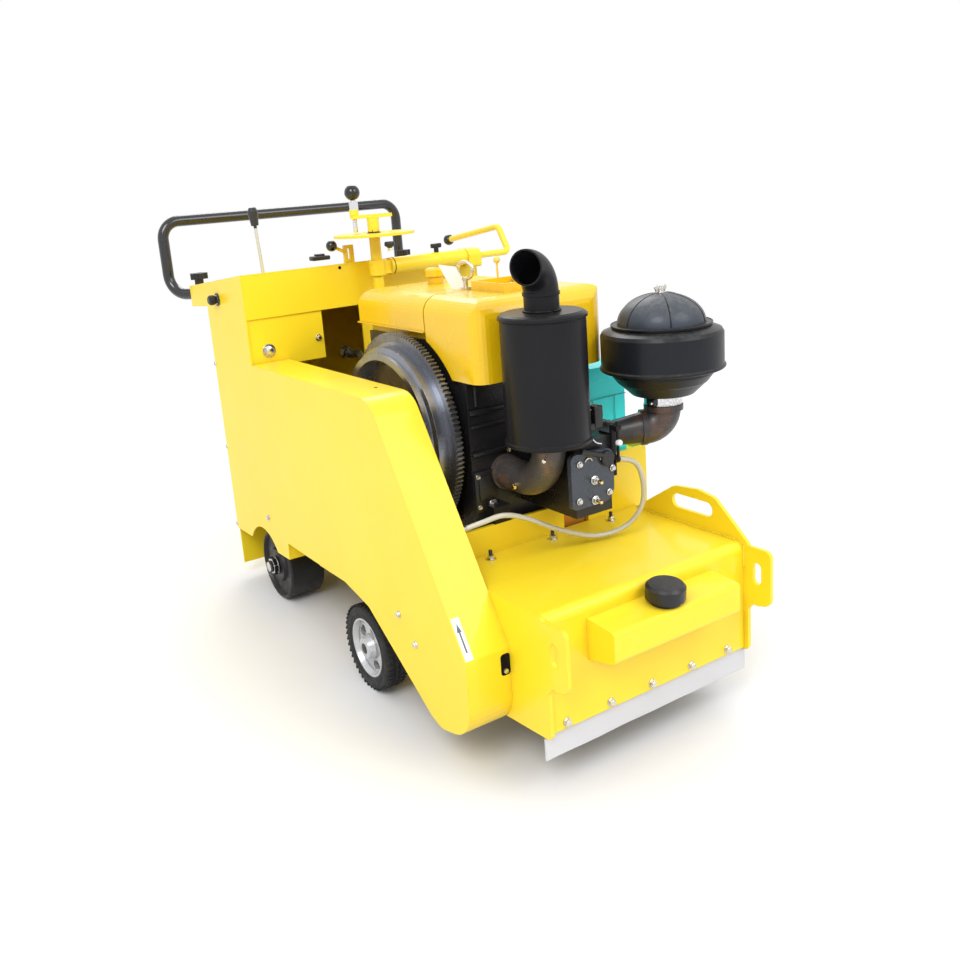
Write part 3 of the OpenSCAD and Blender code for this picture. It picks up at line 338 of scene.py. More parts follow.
# A run of overlapping ripples along points
def weldBead(mesh, points, radius, seed):
    rng = random.Random(seed)
    points = [Vector(p) for p in points]
    spots = []
    for a, b in zip(points, points[1:]):
        steps = max(1, int((b - a).length / (radius * 0.8)))
        spots += [a.lerp(b, k / steps) for k in range(steps)]
    spots.append(points[-1])
    ripple = [spot + Vector([rng.uniform(-1, 1) for _ in "xyz"]) * radius * 0.12 for spot in spots]
    radii = [radius if i % 2 else radius * 0.78 for i in range(len(ripple))]
    radii[0] *= 0.4
    radii[-1] *= 0.4
    tube(mesh, ripple, radii, 8)


def curvePoint(points, i, t):
    a, b = points[max(i - 1, 0)], points[i]
    c, d = points[i + 1], points[min(i + 2, len(points) - 1)]
    return 0.5 * (2 * b + (c - a) * t + (2 * a - 5 * b + 4 * c - d) * t * t + (3 * b - a - 3 * c + d) * t * t * t)


# A soft curve through points
def smoothLine(points, steps):
    points = [Vector(p) for p in points]
    line = [curvePoint(points, i, k / steps) for i in range(len(points) - 1) for k in range(steps)]
    return line + [points[-1]]


# Builds one piece from rows of shapes; a row holds what the shape's function takes after the mesh
shapeMakers = {"slabs": slab, "bars": sweep, "turned": lathe, "plates": plate, "welds": weldBead,
               "hexBolts": hexBolt, "domeBolts": domeBolt, "studNuts": studNut}


def buildPiece(name, shapes, materials, slotName, **options):
    mesh = bmesh.new()
    for kind, rows in shapes.items():
        for row in rows:
            shapeMakers[kind](mesh, *row)
    return newPiece(name, mesh, materials, slotName, **options)


# Finishes: effects shared by several materials are groups


# A group whose inputs take their kind from the defaults: a tuple is a colour, a Vector a vector, a float a value
def startGroup(name, inputs, outputs):
    group = bpy.data.node_groups.new(name, "ShaderNodeTree")
    kinds = {tuple: "NodeSocketColor", Vector: "NodeSocketVector", float: "NodeSocketFloat"}
    for key, default in inputs.items():
        made = group.interface.new_socket(name=key, in_out="INPUT", socket_type=kinds[type(default)])
        made.default_value = (*default, 1) if isinstance(default, tuple) else default
    for key in outputs:
        kind = kinds[tuple if key == "Color" else float]
        group.interface.new_socket(name=key, in_out="OUTPUT", socket_type=kind)
    return group, group.nodes.new("NodeGroupInput").outputs, group.nodes.new("NodeGroupOutput").inputs


# Sprayed coat: a broad tint, dust on what faces up, painted shade and grime in corners, a smeared sheen, fine peel and
# soft dents
def makeCoatSkin():
    group, given, sink = startGroup(
        "coatSkin", {"Coat": (0.8, 0.5, 0.02), "Tint": (0.7, 0.4, 0.01), "Dust": (0.5, 0.46, 0.38),
                     "Tint Share": 0.3, "Dust Share": 0.15, "Shade And Grime": 0.3, "Roughness": 0.3,
                     "Peel Scale": 260.0, "Peel": 0.5, "Dents": 0.3},
        ["Color", "Roughness", "Height"])
    coords = objectSpace(group)
    broad = remap(group, noise(group, coords, 5.0, 4.0), 0.35, 0.7)
    tinted = mixColor(group, mathOf(group, "MULTIPLY", broad, given["Tint Share"]), given["Coat"], given["Tint"])
    normal = addNode(group, "NewGeometry", {}).outputs["Normal"]
    upward = remap(group, addNode(group, "SeparateXYZ", {0: normal}).outputs["Z"], 0.3, 0.95)
    specks = remap(group, noise(group, coords, 90.0, 6.0, 0.65), 0.42, 0.72)
    drift = remap(group, noise(group, coords, 9.0, 3.0), 0.3, 0.75)
    settled = mathOf(group, "ADD", mathOf(group, "MULTIPLY", specks, 0.6), mathOf(group, "MULTIPLY", drift, 0.4))
    dusty = mathOf(group, "MULTIPLY", mathOf(group, "MULTIPLY", upward, settled), given["Dust Share"], True)
    dusted = mixColor(group, dusty, tinted, given["Dust"])
    # Corners darkened toward a dark brown from ambient occlusion: painted shade, mottled by noise as grime
    corner = addNode(group, "AmbientOcclusion", {"Distance": 0.02}, samples=6).outputs["AO"]
    cornerShade = remap(group, corner, 0.35, 0.85, 1.0, 0.0)
    smudge = remap(group, noise(group, coords, 40.0, 4.0, 0.6), 0.3, 0.6, 0.4, 1.0)
    shadeAndGrimeMask = mathOf(group, "MULTIPLY", mathOf(group, "MULTIPLY", cornerShade, smudge), given["Shade And Grime"], True)
    feed(group, sink["Color"], mixColor(group, shadeAndGrimeMask, dusted, (0.10, 0.07, 0.035)))
    smear = remap(group, noise(group, coords, 14.0, 5.0, 0.6), 0.3, 0.75, -0.02, 0.04)
    dulled = mathOf(group, "MULTIPLY", mathOf(group, "ADD", dusty, shadeAndGrimeMask), 0.35)
    feed(group, sink["Roughness"], mathOf(group, "ADD", given["Roughness"], mathOf(group, "ADD", smear, dulled), True))
    peel = mathOf(group, "MULTIPLY", noise(group, coords, given["Peel Scale"], 2.0), given["Peel"])
    dents = mathOf(group, "MULTIPLY", noise(group, coords, 12.0, 2.0), given["Dents"])
    feed(group, sink["Height"], mathOf(group, "ADD", peel, dents))
    return group


# Rough casting: sand grain, pits and oily patches
def makeCastSkin():
    group, given, sink = startGroup(
        "castSkin", {"Iron": (0.06, 0.06, 0.065), "Patch": (0.1, 0.07, 0.05), "Patch Share": 0.5, "Roughness": 0.5,
                     "Grain Scale": 420.0}, ["Color", "Roughness", "Height"])
    coords = objectSpace(group)
    patches = remap(group, noise(group, coords, 26.0, 5.0, 0.6), 0.45, 0.68)
    base = mixColor(group, mathOf(group, "MULTIPLY", patches, given["Patch Share"]), given["Iron"], given["Patch"])
    speckle = remap(group, noise(group, coords, 300.0, 4.0, 0.7), 0.35, 0.7, 0.8, 1.25)
    shade = addNode(group, "CombineColor", {0: speckle, 1: speckle, 2: speckle}).outputs[0]
    feed(group, sink["Color"], mixColor(group, 1.0, base, shade, "MULTIPLY"))
    oily = mathOf(group, "MULTIPLY", patches, 0.18)
    feed(group, sink["Roughness"], mathOf(group, "SUBTRACT", given["Roughness"], oily))
    grain = noise(group, coords, given["Grain Scale"], 6.0, 0.7)
    pits = mathOf(group, "MULTIPLY", noise(group, coords, 60.0, 3.0), 0.6)
    feed(group, sink["Height"], mathOf(group, "ADD", grain, pits))
    return group


# Lathe marks round an axis along Y through Centre: fine rings and a slightly worn tone
def makeTurnedSkin():
    group, given, sink = startGroup(
        "turnedSkin", {"Centre": Vector((0, 0, 0)), "Metal": (0.3, 0.3, 0.32), "Worn": (0.12, 0.11, 0.1),
                       "Roughness": 0.3}, ["Color", "Roughness", "Height"])
    coords = objectSpace(group)
    offset = vectorMath(group, "SUBTRACT", {0: coords, 1: given["Centre"]})[0]
    flat = vectorMath(group, "MULTIPLY", {0: offset, 1: (1, 0, 1)})[0]
    reach = mathOf(group, "MULTIPLY", vectorMath(group, "LENGTH", {0: flat})["Value"], 900.0)
    depth = mathOf(group, "MULTIPLY", addNode(group, "SeparateXYZ", {0: coords}).outputs["Y"], 900.0)
    feed(group, sink["Height"], noise(group, addNode(group, "CombineXYZ", {0: reach, 1: depth}).outputs[0], 1.0, 2.0))
    blotch = remap(group, noise(group, coords, 30.0, 4.0, 0.6), 0.4, 0.75)
    feed(group, sink["Color"], mixColor(group, mathOf(group, "MULTIPLY", blotch, 0.5), given["Metal"], given["Worn"]))
    dull = mathOf(group, "MULTIPLY", blotch, 0.05)
    feed(group, sink["Roughness"], mathOf(group, "ADD", given["Roughness"], dull))
    return group


# 1 inside a ball of the given radius round Centre, 0 outside
def makeBallMask():
    group, given, sink = startGroup("ballMask", {"Centre": Vector((0, 0, 0)), "Reach": 0.01}, ["Mask"])
    gap = vectorMath(group, "DISTANCE", {0: objectSpace(group), 1: given["Centre"]})["Value"]
    feed(group, sink["Mask"], mathOf(group, "LESS_THAN", gap, given["Reach"]))
    return group


coatSkin, castSkin, turnedSkin, ballMask = makeCoatSkin(), makeCastSkin(), makeTurnedSkin(), makeBallMask()


def useGroup(tree, group, values):
    return addNode(tree, "Group", values, node_tree=group).outputs


# Bump over a normal that is rounded along edges, so that they catch the light
def bumpTo(tree, shader, height, strength, distance, edge):
    bump = addNode(tree, "Bump", {"Strength": strength, "Distance": distance, "Height": height})
    feed(tree, shader.inputs["Normal"], bump.outputs["Normal"])
    if edge:
        rounding = addNode(tree, "Bevel", {"Radius": edge}, samples=4)
        feed(tree, bump.inputs["Normal"], rounding.outputs["Normal"])


# Lays a skin's colour, roughness and height on a started material
def laySkin(started, group, values, strength, distance, edge):
    material, tree, shader = started
    skin = useGroup(tree, group, values)
    feed(tree, shader.inputs["Base Color"], skin["Color"])
    feed(tree, shader.inputs["Roughness"], skin["Roughness"])
    bumpTo(tree, shader, skin["Height"], strength, distance, edge)
    return material


def coatMaterial(name, coat, tint, roughness, gloss=0.1, dust=0.02, shadeAndGrime=0.1, tintShare=0.3, peel=0.3, peelScale=260,
                 metallic=0.0, edge=0.0012, specular=0.5):
    values = {"Coat": coat, "Tint": tint, "Tint Share": tintShare, "Dust Share": dust, "Shade And Grime": shadeAndGrime,
              "Roughness": roughness, "Peel": peel, "Peel Scale": peelScale}
    started = startMaterial(name, roughness, metallic, gloss, specular=specular)
    return laySkin(started, coatSkin, values, strength=0.3, distance=0.0004, edge=edge)


def castMaterial(name, iron, patch, roughness, share=0.5, grain=300, metallic=0.0, gloss=0.0, bump=0.5, edge=0.0015,
                 specular=0.5):
    values = {"Iron": iron, "Patch": patch, "Patch Share": share, "Roughness": roughness, "Grain Scale": grain}
    started = startMaterial(name, roughness, metallic, gloss, glossRoughness=0.2, specular=specular)
    return laySkin(started, castSkin, values, strength=bump, distance=0.0008, edge=edge)


def turnedMaterial(name, metal, worn, center, roughness, gloss=0.0):
    values = {"Metal": metal, "Worn": worn, "Centre": center, "Roughness": roughness}
    started = startMaterial(name, roughness, metallic=0.9, gloss=gloss, glossRoughness=0.08)
    return laySkin(started, turnedSkin, values, strength=0.08, distance=0.0002, edge=0.001)


# A coat whose colour, roughness and metal change inside balls: (centre in mm, reach in m, colour, roughness, metallic)
def zonedMaterial(name, base, zones):
    coat, tint, roughness, metallic = base
    material, tree, shader = startMaterial(name, roughness, metallic, gloss=0.4, glossRoughness=0.08)
    skin = useGroup(tree, coatSkin, {"Coat": coat, "Tint": tint, "Tint Share": 0.3, "Dust Share": 0.03, "Shade And Grime": 0.2,
                                     "Roughness": roughness, "Peel": 0.2, "Peel Scale": 420, "Dents": 0.2})
    color, rough, metal = skin["Color"], skin["Roughness"], metallic
    for center, reach, zoneColor, zoneRough, zoneMetal in zones:
        mask = useGroup(tree, ballMask, {"Centre": place(*center), "Reach": reach})["Mask"]
        color = mixColor(tree, mask, color, zoneColor)
        rough = mixValue(tree, mask, rough, zoneRough)
        metal = mixValue(tree, mask, metal, zoneMetal)
    for key, value in (("Base Color", color), ("Roughness", rough), ("Metallic", metal)):
        feed(tree, shader.inputs[key], value)
    bumpTo(tree, shader, skin["Height"], strength=0.25, distance=0.0004, edge=0.0008)
    return material


yellowBase = ((0.93, 0.69, 0.018), (0.92, 0.63, 0.012), 0.34, 0.0)
amberBase = ((0.84, 0.53, 0.005), (0.78, 0.43, 0.004), 0.26, 0.0)
rodBase = ((0.62, 0.61, 0.54), (0.5, 0.49, 0.42), 0.3, 0.4)
flywheelCentre = place(-535, 0, 562)

# Painted, moulded and printed surfaces: colour, tint and roughness, then what differs from a plain coat
yellow = coatMaterial("yellowEnamel", *yellowBase[:2], 0.36, gloss=0.22, dust=0.06, shadeAndGrime=0.22, peel=0.25,
                      peelScale=420, specular=0.4)
amber = coatMaterial("amberEnamel", *amberBase[:2], 0.26, gloss=0.4, dust=0.22, shadeAndGrime=0.3, tintShare=0.4, peel=0.25,
                     peelScale=420, specular=0.4)
# A dull dark orange that stands for yellow paint in shade: painted shade
shadeOrange = coatMaterial("paintedShadeOrange", (0.62, 0.24, 0.012), (0.5, 0.17, 0.01), 0.5, gloss=0.0, dust=0.05,
                         shadeAndGrime=0.4, tintShare=0.5, peel=0.4, peelScale=400)
greySheet = coatMaterial("greySheet", (0.62, 0.62, 0.64), (0.54, 0.54, 0.56), 0.5, dust=0.1, shadeAndGrime=0.25, tintShare=0.5,
                         peel=0.6, peelScale=300)
satinBlack = coatMaterial("satinBlack", (0.009, 0.009, 0.011), (0.014, 0.013, 0.014), 0.34, gloss=0.04, dust=0.03,
                          tintShare=0.5, peelScale=500, specular=0.16)
cleanerBlack = coatMaterial("cleanerBlack", (0.009, 0.010, 0.013), (0.013, 0.015, 0.019), 0.36, gloss=0.06, dust=0.10,
                            tintShare=0.6, peelScale=300, specular=0.22)
domeGrey = coatMaterial("domeGrey", (0.040, 0.050, 0.068), (0.028, 0.034, 0.045), 0.45, dust=0.2, tintShare=0.7,
                        peelScale=300, specular=0.35)
glossBlack = coatMaterial("glossBlack", (0.006, 0.006, 0.008), (0.010, 0.010, 0.012), 0.22, gloss=0.6, shadeAndGrime=0.05,
                          tintShare=0.4, peel=0.2)
blackPlastic = coatMaterial("blackPlastic", (0.012, 0.012, 0.013), (0.018, 0.018, 0.019), 0.36, dust=0.05,
                            tintShare=0.4, peel=0.6, peelScale=900, specular=0.35)
batteryCase = coatMaterial("batteryCase", (0.005, 0.93, 0.99), (0.005, 0.88, 0.94), 0.35, gloss=0.12, peelScale=700)
batterySeam = coatMaterial("batterySeam", (0.008, 0.42, 0.46), (0.008, 0.38, 0.42), 0.4, peel=0.1, edge=0.0)
hosePvc = coatMaterial("hosePvc", (0.50, 0.47, 0.37), (0.38, 0.35, 0.26), 0.26, gloss=0.5, dust=0.03, shadeAndGrime=0.25,
                       tintShare=0.5, peel=0.35, peelScale=900)
whiteLabelAndGlint = coatMaterial("whiteLabelAndGlint", (0.82, 0.83, 0.84), (0.76, 0.76, 0.76), 0.3, gloss=0.3, peel=0.1, edge=0.0)
arrowInk = coatMaterial("arrowInk", (0.045, 0.06, 0.10), (0.06, 0.075, 0.11), 0.35, gloss=0.2, shadeAndGrime=0.05, peel=0.1,
                        edge=0.0)
rimSilver = coatMaterial("rimSilver", (0.56, 0.57, 0.59), (0.42, 0.43, 0.45), 0.26, gloss=0.5, dust=0.04, shadeAndGrime=0.5,
                         tintShare=0.4, peelScale=400, metallic=0.5)
slotShadow = coatMaterial("slotShadow", (0.004, 0.004, 0.004), (0.008, 0.007, 0.006), 0.7, gloss=0.0, shadeAndGrime=0.2,
                          tintShare=0.4, peel=0.2, edge=0.0, specular=0.1)

# Cast, rubber and plated surfaces: colour, patches and roughness, then what differs from a plain casting
darkCast = castMaterial("darkCast", (0.010, 0.010, 0.012), (0.024, 0.019, 0.016), 0.40, share=0.4, grain=420,
                        gloss=0.15, specular=0.4)
rockerCast = castMaterial("rockerCast", (0.034, 0.042, 0.058), (0.024, 0.028, 0.037), 0.34, share=0.4, grain=500,
                          gloss=0.2, bump=0.25)
rustyCast = castMaterial("heatBrownedCast", (0.075, 0.068, 0.066), (0.20, 0.105, 0.065), 0.45, share=0.75, grain=260,
                         metallic=0.2, gloss=0.25, bump=0.7, specular=0.4)
pipeCast = castMaterial("pipeCast", (0.035, 0.033, 0.034), (0.16, 0.075, 0.035), 0.42, metallic=0.1, gloss=0.25,
                        specular=0.4)
drumSteel = castMaterial("drumSteel", (0.06, 0.055, 0.05), (0.11, 0.06, 0.035), 0.5, share=0.7, metallic=0.7, bump=0.6)
pickSteel = castMaterial("pickSteel", (0.32, 0.31, 0.30), (0.2, 0.16, 0.12), 0.34, grain=500, metallic=1.0, bump=0.3)
darkSteel = castMaterial("darkSteel", (0.06, 0.06, 0.065), (0.10, 0.085, 0.07), 0.36, share=0.4, grain=700,
                         metallic=0.9, bump=0.2)
beltRubber = castMaterial("beltRubber", (0.018, 0.018, 0.018), (0.03, 0.03, 0.028), 0.75, grain=700, bump=0.3)
tyreRubber = castMaterial("tyreRubber", (0.014, 0.014, 0.015), (0.035, 0.033, 0.03), 0.68, share=0.3, grain=600,
                          bump=0.25, specular=0.35)
rollerRubber = castMaterial("rollerRubber", (0.010, 0.010, 0.011), (0.026, 0.024, 0.022), 0.5, share=0.25, grain=600,
                            bump=0.2, specular=0.4)
zinc = castMaterial("zincPlate", (0.66, 0.65, 0.62), (0.5, 0.49, 0.45), 0.28, metallic=1.0, bump=0.02, edge=0.0006)
eyeZinc = castMaterial("yellowZinc", (0.74, 0.66, 0.46), (0.6, 0.5, 0.3), 0.26, metallic=1.0, gloss=0.2, bump=0.02,
                       edge=0.0006)
brightSteel = castMaterial("brightSteel", (0.78, 0.78, 0.79), (0.66, 0.66, 0.66), 0.16, share=0.3, metallic=1.0,
                           bump=0.01, edge=0.0004)
brass = castMaterial("brass", (0.80, 0.60, 0.26), (0.55, 0.40, 0.14), 0.22, share=0.4, grain=900, metallic=1.0,
                     bump=0.08, edge=0.0006)
flywheelPaint = turnedMaterial("flywheelBlack", (0.27, 0.285, 0.325), (0.20, 0.21, 0.24), flywheelCentre, 0.25, 0.25)
ringSteel = turnedMaterial("ringGearSteel", (0.24, 0.24, 0.25), (0.10, 0.096, 0.09), flywheelCentre, 0.34)

# Levers with a ball or grip of another finish, and their crease angles. The crank's bright pin and ball stand on its
# turning circle
crank = {"axis": (-880, -21), "throw": 42, "bearing": math.radians(246)}
pinAt = (crank["axis"][0] + crank["throw"] * math.cos(crank["bearing"]),
         crank["axis"][1] + crank["throw"] * math.sin(crank["bearing"]))
ballBlack = (0.005, 0.005, 0.006)
leverCoats = {
    "crank": (zonedMaterial("crankYellow", yellowBase, [
        ((*pinAt, 1050), 0.0405, (0.78, 0.78, 0.79), 0.15, 1.0), ((*pinAt, 1050), 0.0187, ballBlack, 0.12, 0.0)]), 50),
    "throttle_lever": (zonedMaterial("throttleYellow", yellowBase, [
        ((-932, -109, 932), 0.0137, ballBlack, 0.15, 0.0)]), 60),
    "clutch_lever": (zonedMaterial("clutchYellow", yellowBase, [
        ((-1162, 363, 901), 0.0157, ballBlack, 0.15, 0.0)]), 60),
    "drive_lever": (zonedMaterial("driveRod", rodBase, [
        ((-1110, -221.5, 1010), 0.0275, (0.012, 0.012, 0.013), 0.4, 0.0)]), 35),
    "float_gauge": (zonedMaterial("floatYellow", amberBase, [
        ((-384, -22, 905), 0.0076, (0.78, 0.6, 0.1), 0.3, 0.0)]), 35),
}

finishes = {
    yellow: ["hood", "side_plate_left", "side_plate_right", "water_tank", "bulkhead", "guard_plate", "guard_strip",
             "frame_rails", "side_panel", "deck", "battery_box", "console", "console_front_sheet", "rear_wall",
             "column", "cross_tube"],
    amber: ["hopper", "fuel_tank", "fuel_cap"],
    greySheet: ["skirt"],
    satinBlack: ["muffler", "drum_bearings", "front_axle", "engine_feet", "lift_fork", "throttle_link"],
    cleanerBlack: ["air_cleaner"],
    glossBlack: ["handle"],
    blackPlastic: ["water_cap", "clamp_knobs"],
    darkCast: ["crankcase", "cylinder_head"],
    rockerCast: ["rocker_cover"],
    rustyCast: ["exhaust_elbow"],
    pipeCast: ["intake_elbow"],
    drumSteel: ["drum", "drum_pulley"],
    pickSteel: ["picks"],
    beltRubber: ["belts"],
    tyreRubber: ["tyre_left", "tyre_right"],
    rollerRubber: ["roller_left", "roller_right"],
    batteryCase: ["battery"],
    rimSilver: ["rim_left", "rim_right"],
    flywheelPaint: ["flywheel"],
    ringSteel: ["ring_gear"],
    eyeZinc: ["lifting_eye"],
}


def dress(nodeName, material, creaseAngle=35):
    data = nodes[nodeName].data
    data.materials.clear()
    data.materials.append(material)
    smoothFaces(data, creaseAngle)


for material, names in finishes.items():
    for name in names:
        dress(name, material)
for name, (material, creaseAngle) in leverCoats.items():
    dress(name, material, creaseAngle)
print("finishes on the solids")

# The hose runs from the guard across the hood to the throttle linkage
hose = {"radius": 5, "sides": 16, "stepsPerSpan": 6, "points": [
    (-226, -338.5, 438), (-226, -286, 440), (-226, -250, 445), (-207, -212, 457), (-198, -174, 462), (-200, -123, 443),
    (-200, -45, 399), (-196, 38, 366), (-180, 100, 372), (-158, 126, 410), (-148, 126, 460), (-147, 108, 508),
    (-147, 62, 529)]}


def makeHose():
    line = smoothLine(hose["points"], hose["stepsPerSpan"])
    piece = buildPiece("fuelHose", {"bars": [(line, hose["radius"], hose["sides"])]}, [hosePvc], "hose_pvc")
    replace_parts(piece, "hose")


makeHose()

# Detail pieces. Their rows are in the machine's own millimetres and hold:
# slabs: low corner, high corner, bevel, material, turn; bars: points, radius, sides, material
# turned: (radius, height) profile, seat, axis, steps, material; plates: front outline, back outline, material
# hexBolts: seat, axis, width across flats, head height, washer radius, turn, material
# welds: points, radius, seed; domeBolts and studNuts: seat, axis

# Hood: three studs on top and the bolts along its lower front edge
hoodFasteners = {"studNuts": [((-275, y, 350), upwards) for y in (-158, -6, 149)],
                 "hexBolts": [((0, y, 143), forwards, 12, 6, 8.5) for y in (-207, -106, -6, 95, 193)]}
buildPiece("hoodFasteners", hoodFasteners, [zinc, glossBlack], "bare_steel")

# The web behind the gap of the bulkhead, in a dark orange that is painted shade on its yellow
shadedWeb = {"slabs": [((-320, 43, 346), (-316.8, 116.5, 399), 0.5)]}
buildPiece("shadedWeb", shadedWeb, [shadeOrange], "yellow_paint")

# Weld beads: the lashing tabs' and the hood's corners, and the neck of the muffler's outlet
hoodWelds = {"welds": [([(0.6, 241.6, 300), (0.6, 241.6, 344)], 2.6, 3),
                       ([(0.6, -241.6, 336), (0.6, -241.6, 350)], 2.6, 4),
                       ([(-262, 241.4, 351), (-20, 241.4, 351)], 2.6, 5)]}
mufflerWeld = {"welds": [(arcPoints((-180, -74, 827), 32.6, 0, 352, 60, "xy"), 2.4, 9)]}
buildPiece("hoodWelds", hoodWelds, [yellow], "yellow_paint", creaseAngle=60)
buildPiece("mufflerWeld", mufflerWeld, [satinBlack], "black_paint", creaseAngle=60)

# The grey sheet under the hood's front. Rows from the worn wavy edge up: share of the sway, height, half width
skirtSheet = {"front": -6, "back": -10, "columns": 60, "wave": 2.2, "lift": 1.4, "sway": 1.6, "waves": 6, "seed": 4,
              "rows": [(1, 80, 250), (0.7, 95, 250), (0.35, 110, 250), (0, 123, 250), (0, 124, 242), (0, 161, 242)]}


def makeSkirtSheet():
    rng = random.Random(skirtSheet["seed"])
    waves = [(rng.uniform(0.5, 1), rng.uniform(0.01, 0.05), rng.uniform(0, 6)) for _ in range(skirtSheet["waves"])]
    columns = skirtSheet["columns"]
    mesh = bmesh.new()
    rings = []
    for share, level, half in skirtSheet["rows"]:
        sides = []
        for x in (skirtSheet["front"], skirtSheet["back"]):
            side = []
            for k in range(columns + 1):
                y = -half + 2 * half * k / columns
                sway = sum(a * math.sin(b * y + c) for a, b, c in waves) / 3
                lift = max(skirtSheet["lift"] + sway * skirtSheet["wave"] if share == 1 else 0, 0.2 * share)
                side.append(mesh.verts.new((x + share * sway * skirtSheet["sway"], y, level + lift)))
            sides.append(side)
        rings.append(sides[0] + sides[1][::-1])
    skinRings(mesh, rings, len(rings[0]), 0)
    for ring in (rings[0], rings[-1]):
        for k in range(columns):
            mesh.faces.new([ring[k], ring[k + 1], ring[-k - 2], ring[-k - 1]])
    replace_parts(newPiece("skirtSheet", mesh, [greySheet], "grey_sheet", creaseAngle=50), "skirt")


makeSkirtSheet()

# Guard: bolts on its face and a stud on its inner side
faceBolts = [(-323, -342.5, 277), (-267, -342.5, 235), (-942, -342.5, 314)]
guardFasteners = {"hexBolts": [(at, leftwards, 10, 4, 7.5) for at in faceBolts]
                  + [((-221, -250, 450), rightwards, 7, 8)]}
buildPiece("guardFasteners", guardFasteners, [zinc], "bare_steel")

# The arrow plate on the guard's slope: across and up the slope from its foot
slope = {"foot": Vector((-98, 0, 262)), "up": Vector((-0.5266, 0, 0.8501)), "out": Vector((0.8501, 0, 0.5266))}
arrowPlate = {"left": -340, "right": -324, "low": 2, "high": 79, "plate": (-0.2, 0.5), "print": (0.4, 0.7),
              "stem": 1.6, "head": 4.6, "tail": 14, "neck": 51, "tip": 67}


# A flat outline on the slope, from one lift above it to another
def slopePlate(outline, lifts, mat):
    return [[Vector((0, y, 0)) + slope["foot"] + slope["up"] * s + slope["out"] * lift for y, s in outline]
            for lift in lifts] + [mat]


def makeArrowPlate():
    left, right, low, high = (arrowPlate[key] for key in ("left", "right", "low", "high"))
    stem, head, tail, neck, tip = (arrowPlate[key] for key in ("stem", "head", "tail", "neck", "tip"))
    middle = (left + right) / 2
    arrow = [(-stem, tail), (stem, tail), (stem, neck), (head, neck), (0, tip), (-head, neck), (-stem, neck)]
    label = slopePlate([(left, low), (right, low), (right, high), (left, high)], arrowPlate["plate"], 0)
    shape = slopePlate([(middle + y, low + s) for y, s in arrow], arrowPlate["print"], 1)
    buildPiece("arrowPlate", {"plates": [label, shape]}, [whiteLabelAndGlint, arrowInk], "yellow_paint")


makeArrowPlate()

# The belt adjuster's slot with the bolt in it
adjusterSlot = {"x": -98, "proud": 0.25, "deep": 0.35, "y": (-270, -250), "z": (212, 253), "corner": 6}


def makeAdjusterSlot():
    x, r = adjusterSlot["x"], adjusterSlot["corner"]
    (y0, y1), (z0, z1) = adjusterSlot["y"], adjusterSlot["z"]
    outline = []
    for y, z, start in ((y1 - r, z1 - r, 0), (y0 + r, z1 - r, 90), (y0 + r, z0 + r, 180), (y1 - r, z0 + r, 270)):
        outline += arcPoints((x, y, z), r, start, start + 90, 5, "yz")
    front, back = ([p + Vector((out, 0, 0)) for p in outline] for out in (adjusterSlot["proud"], -adjusterSlot["deep"]))
    bolt = ((x, (y0 + y1) / 2, z0 + 8), forwards, 9, 3, 0, 0.3, 1)
    buildPiece("adjusterSlot", {"plates": [(front, back)], "hexBolts": [bolt]}, [slotShadow, zinc], "black_paint")


makeAdjusterSlot()

# Console and rear
consoleFasteners = {
    "hexBolts": [((-933, -294, 711), forwards, 19, 8, 16), ((-933, -167, 723), forwards, 10, 8, 8)],
    "domeBolts": [((-1176, -342.5, z), leftwards) for z in (661, 447, 240)],
    "turned": [([(9, 0), (15, 0), (15, 1.6), (11, 1.8), (11, 3.4), (9, 3.4)], (-1095, -342.5, 826), leftwards, 28)]}
buildPiece("consoleFasteners", consoleFasteners, [zinc], "bare_steel")

plug = [(0, 0.3), (4, 0.3), (4, -0.4)]
plugHoles = {"turned": [(plug, (-929, -95, 880), forwards, 20), (plug, (-455, -276, 685), upwards, 20)]}
buildPiece("plugHoles", plugHoles, [slotShadow], "black_paint")

# The pipe from the console to the engine, with its two nuts
pipeWay = (0.8, 0.25, -0.2)
suctionPipe = {
    "hexBolts": [((-900, -122, 686), pipeWay, 26, 14), ((-886, -118, 683), pipeWay, 20, 12, 0, 0.5)],
    "bars": [(smoothLine([(-878, -116, 682), (-850, -112, 684), (-806, -128, 690), (-760, -140, 682),
                          (-722, -134, 652)], 8), 8, 14, 1)]}
buildPiece("suctionPipe", suctionPipe, [darkSteel, satinBlack], "black_paint")

# A small black block and a key knob on the console's top
keyAt = (-1160, 172, 889)
consoleControls = {
    "slabs": [((-1128, -82, 889), (-1100, -34, 900), 3), ((-1122, -70, 899), (-1106, -46, 905), 2)],
    "turned": [([(0, 0), (7, 0), (7, 8), (5, 9)], keyAt, upwards, 24, 1),
               ([(0, 8), (6, 8), (9, 11), (14, 14), (14, 22), (12, 25), (0, 26)], keyAt, upwards, 28)]}
buildPiece("consoleControls", consoleControls, [blackPlastic, brightSteel], "black_paint")

# Right panel and rear wall
sideFasteners = {"domeBolts": [((x, 294.5, z), rightwards) for x in (-1160, -960) for z in (240, 447, 661)]
                 + [((x, 294.5, 230), rightwards) for x in (-860, -640, -420)]
                 + [((-1176, y, z), backwards) for y in (-312, 264) for z in (170, 400, 630)]}
buildPiece("sideFasteners", sideFasteners, [zinc], "bare_steel")

# Cross tube: the seam where the sleeve ends and the clamp screw on top
sleeveSeam = {"turned": [([(20.0, -1.2), (20.5, -0.8), (20.5, 0.8), (20.0, 1.2)], (-880, 19, 874), rightwards, 40)]}
buildPiece("sleeveSeam", sleeveSeam, [slotShadow], "black_paint")
clampScrew = {"turned": [([(0, -4), (6, -4), (6, 12), (0, 12)], (-880, 146, 894), upwards, 16)],
              "slabs": [((-885, 132, 904), (-875, 160, 915), 2.5)]}
buildPiece("clampScrew", clampScrew, [blackPlastic], "black_paint")

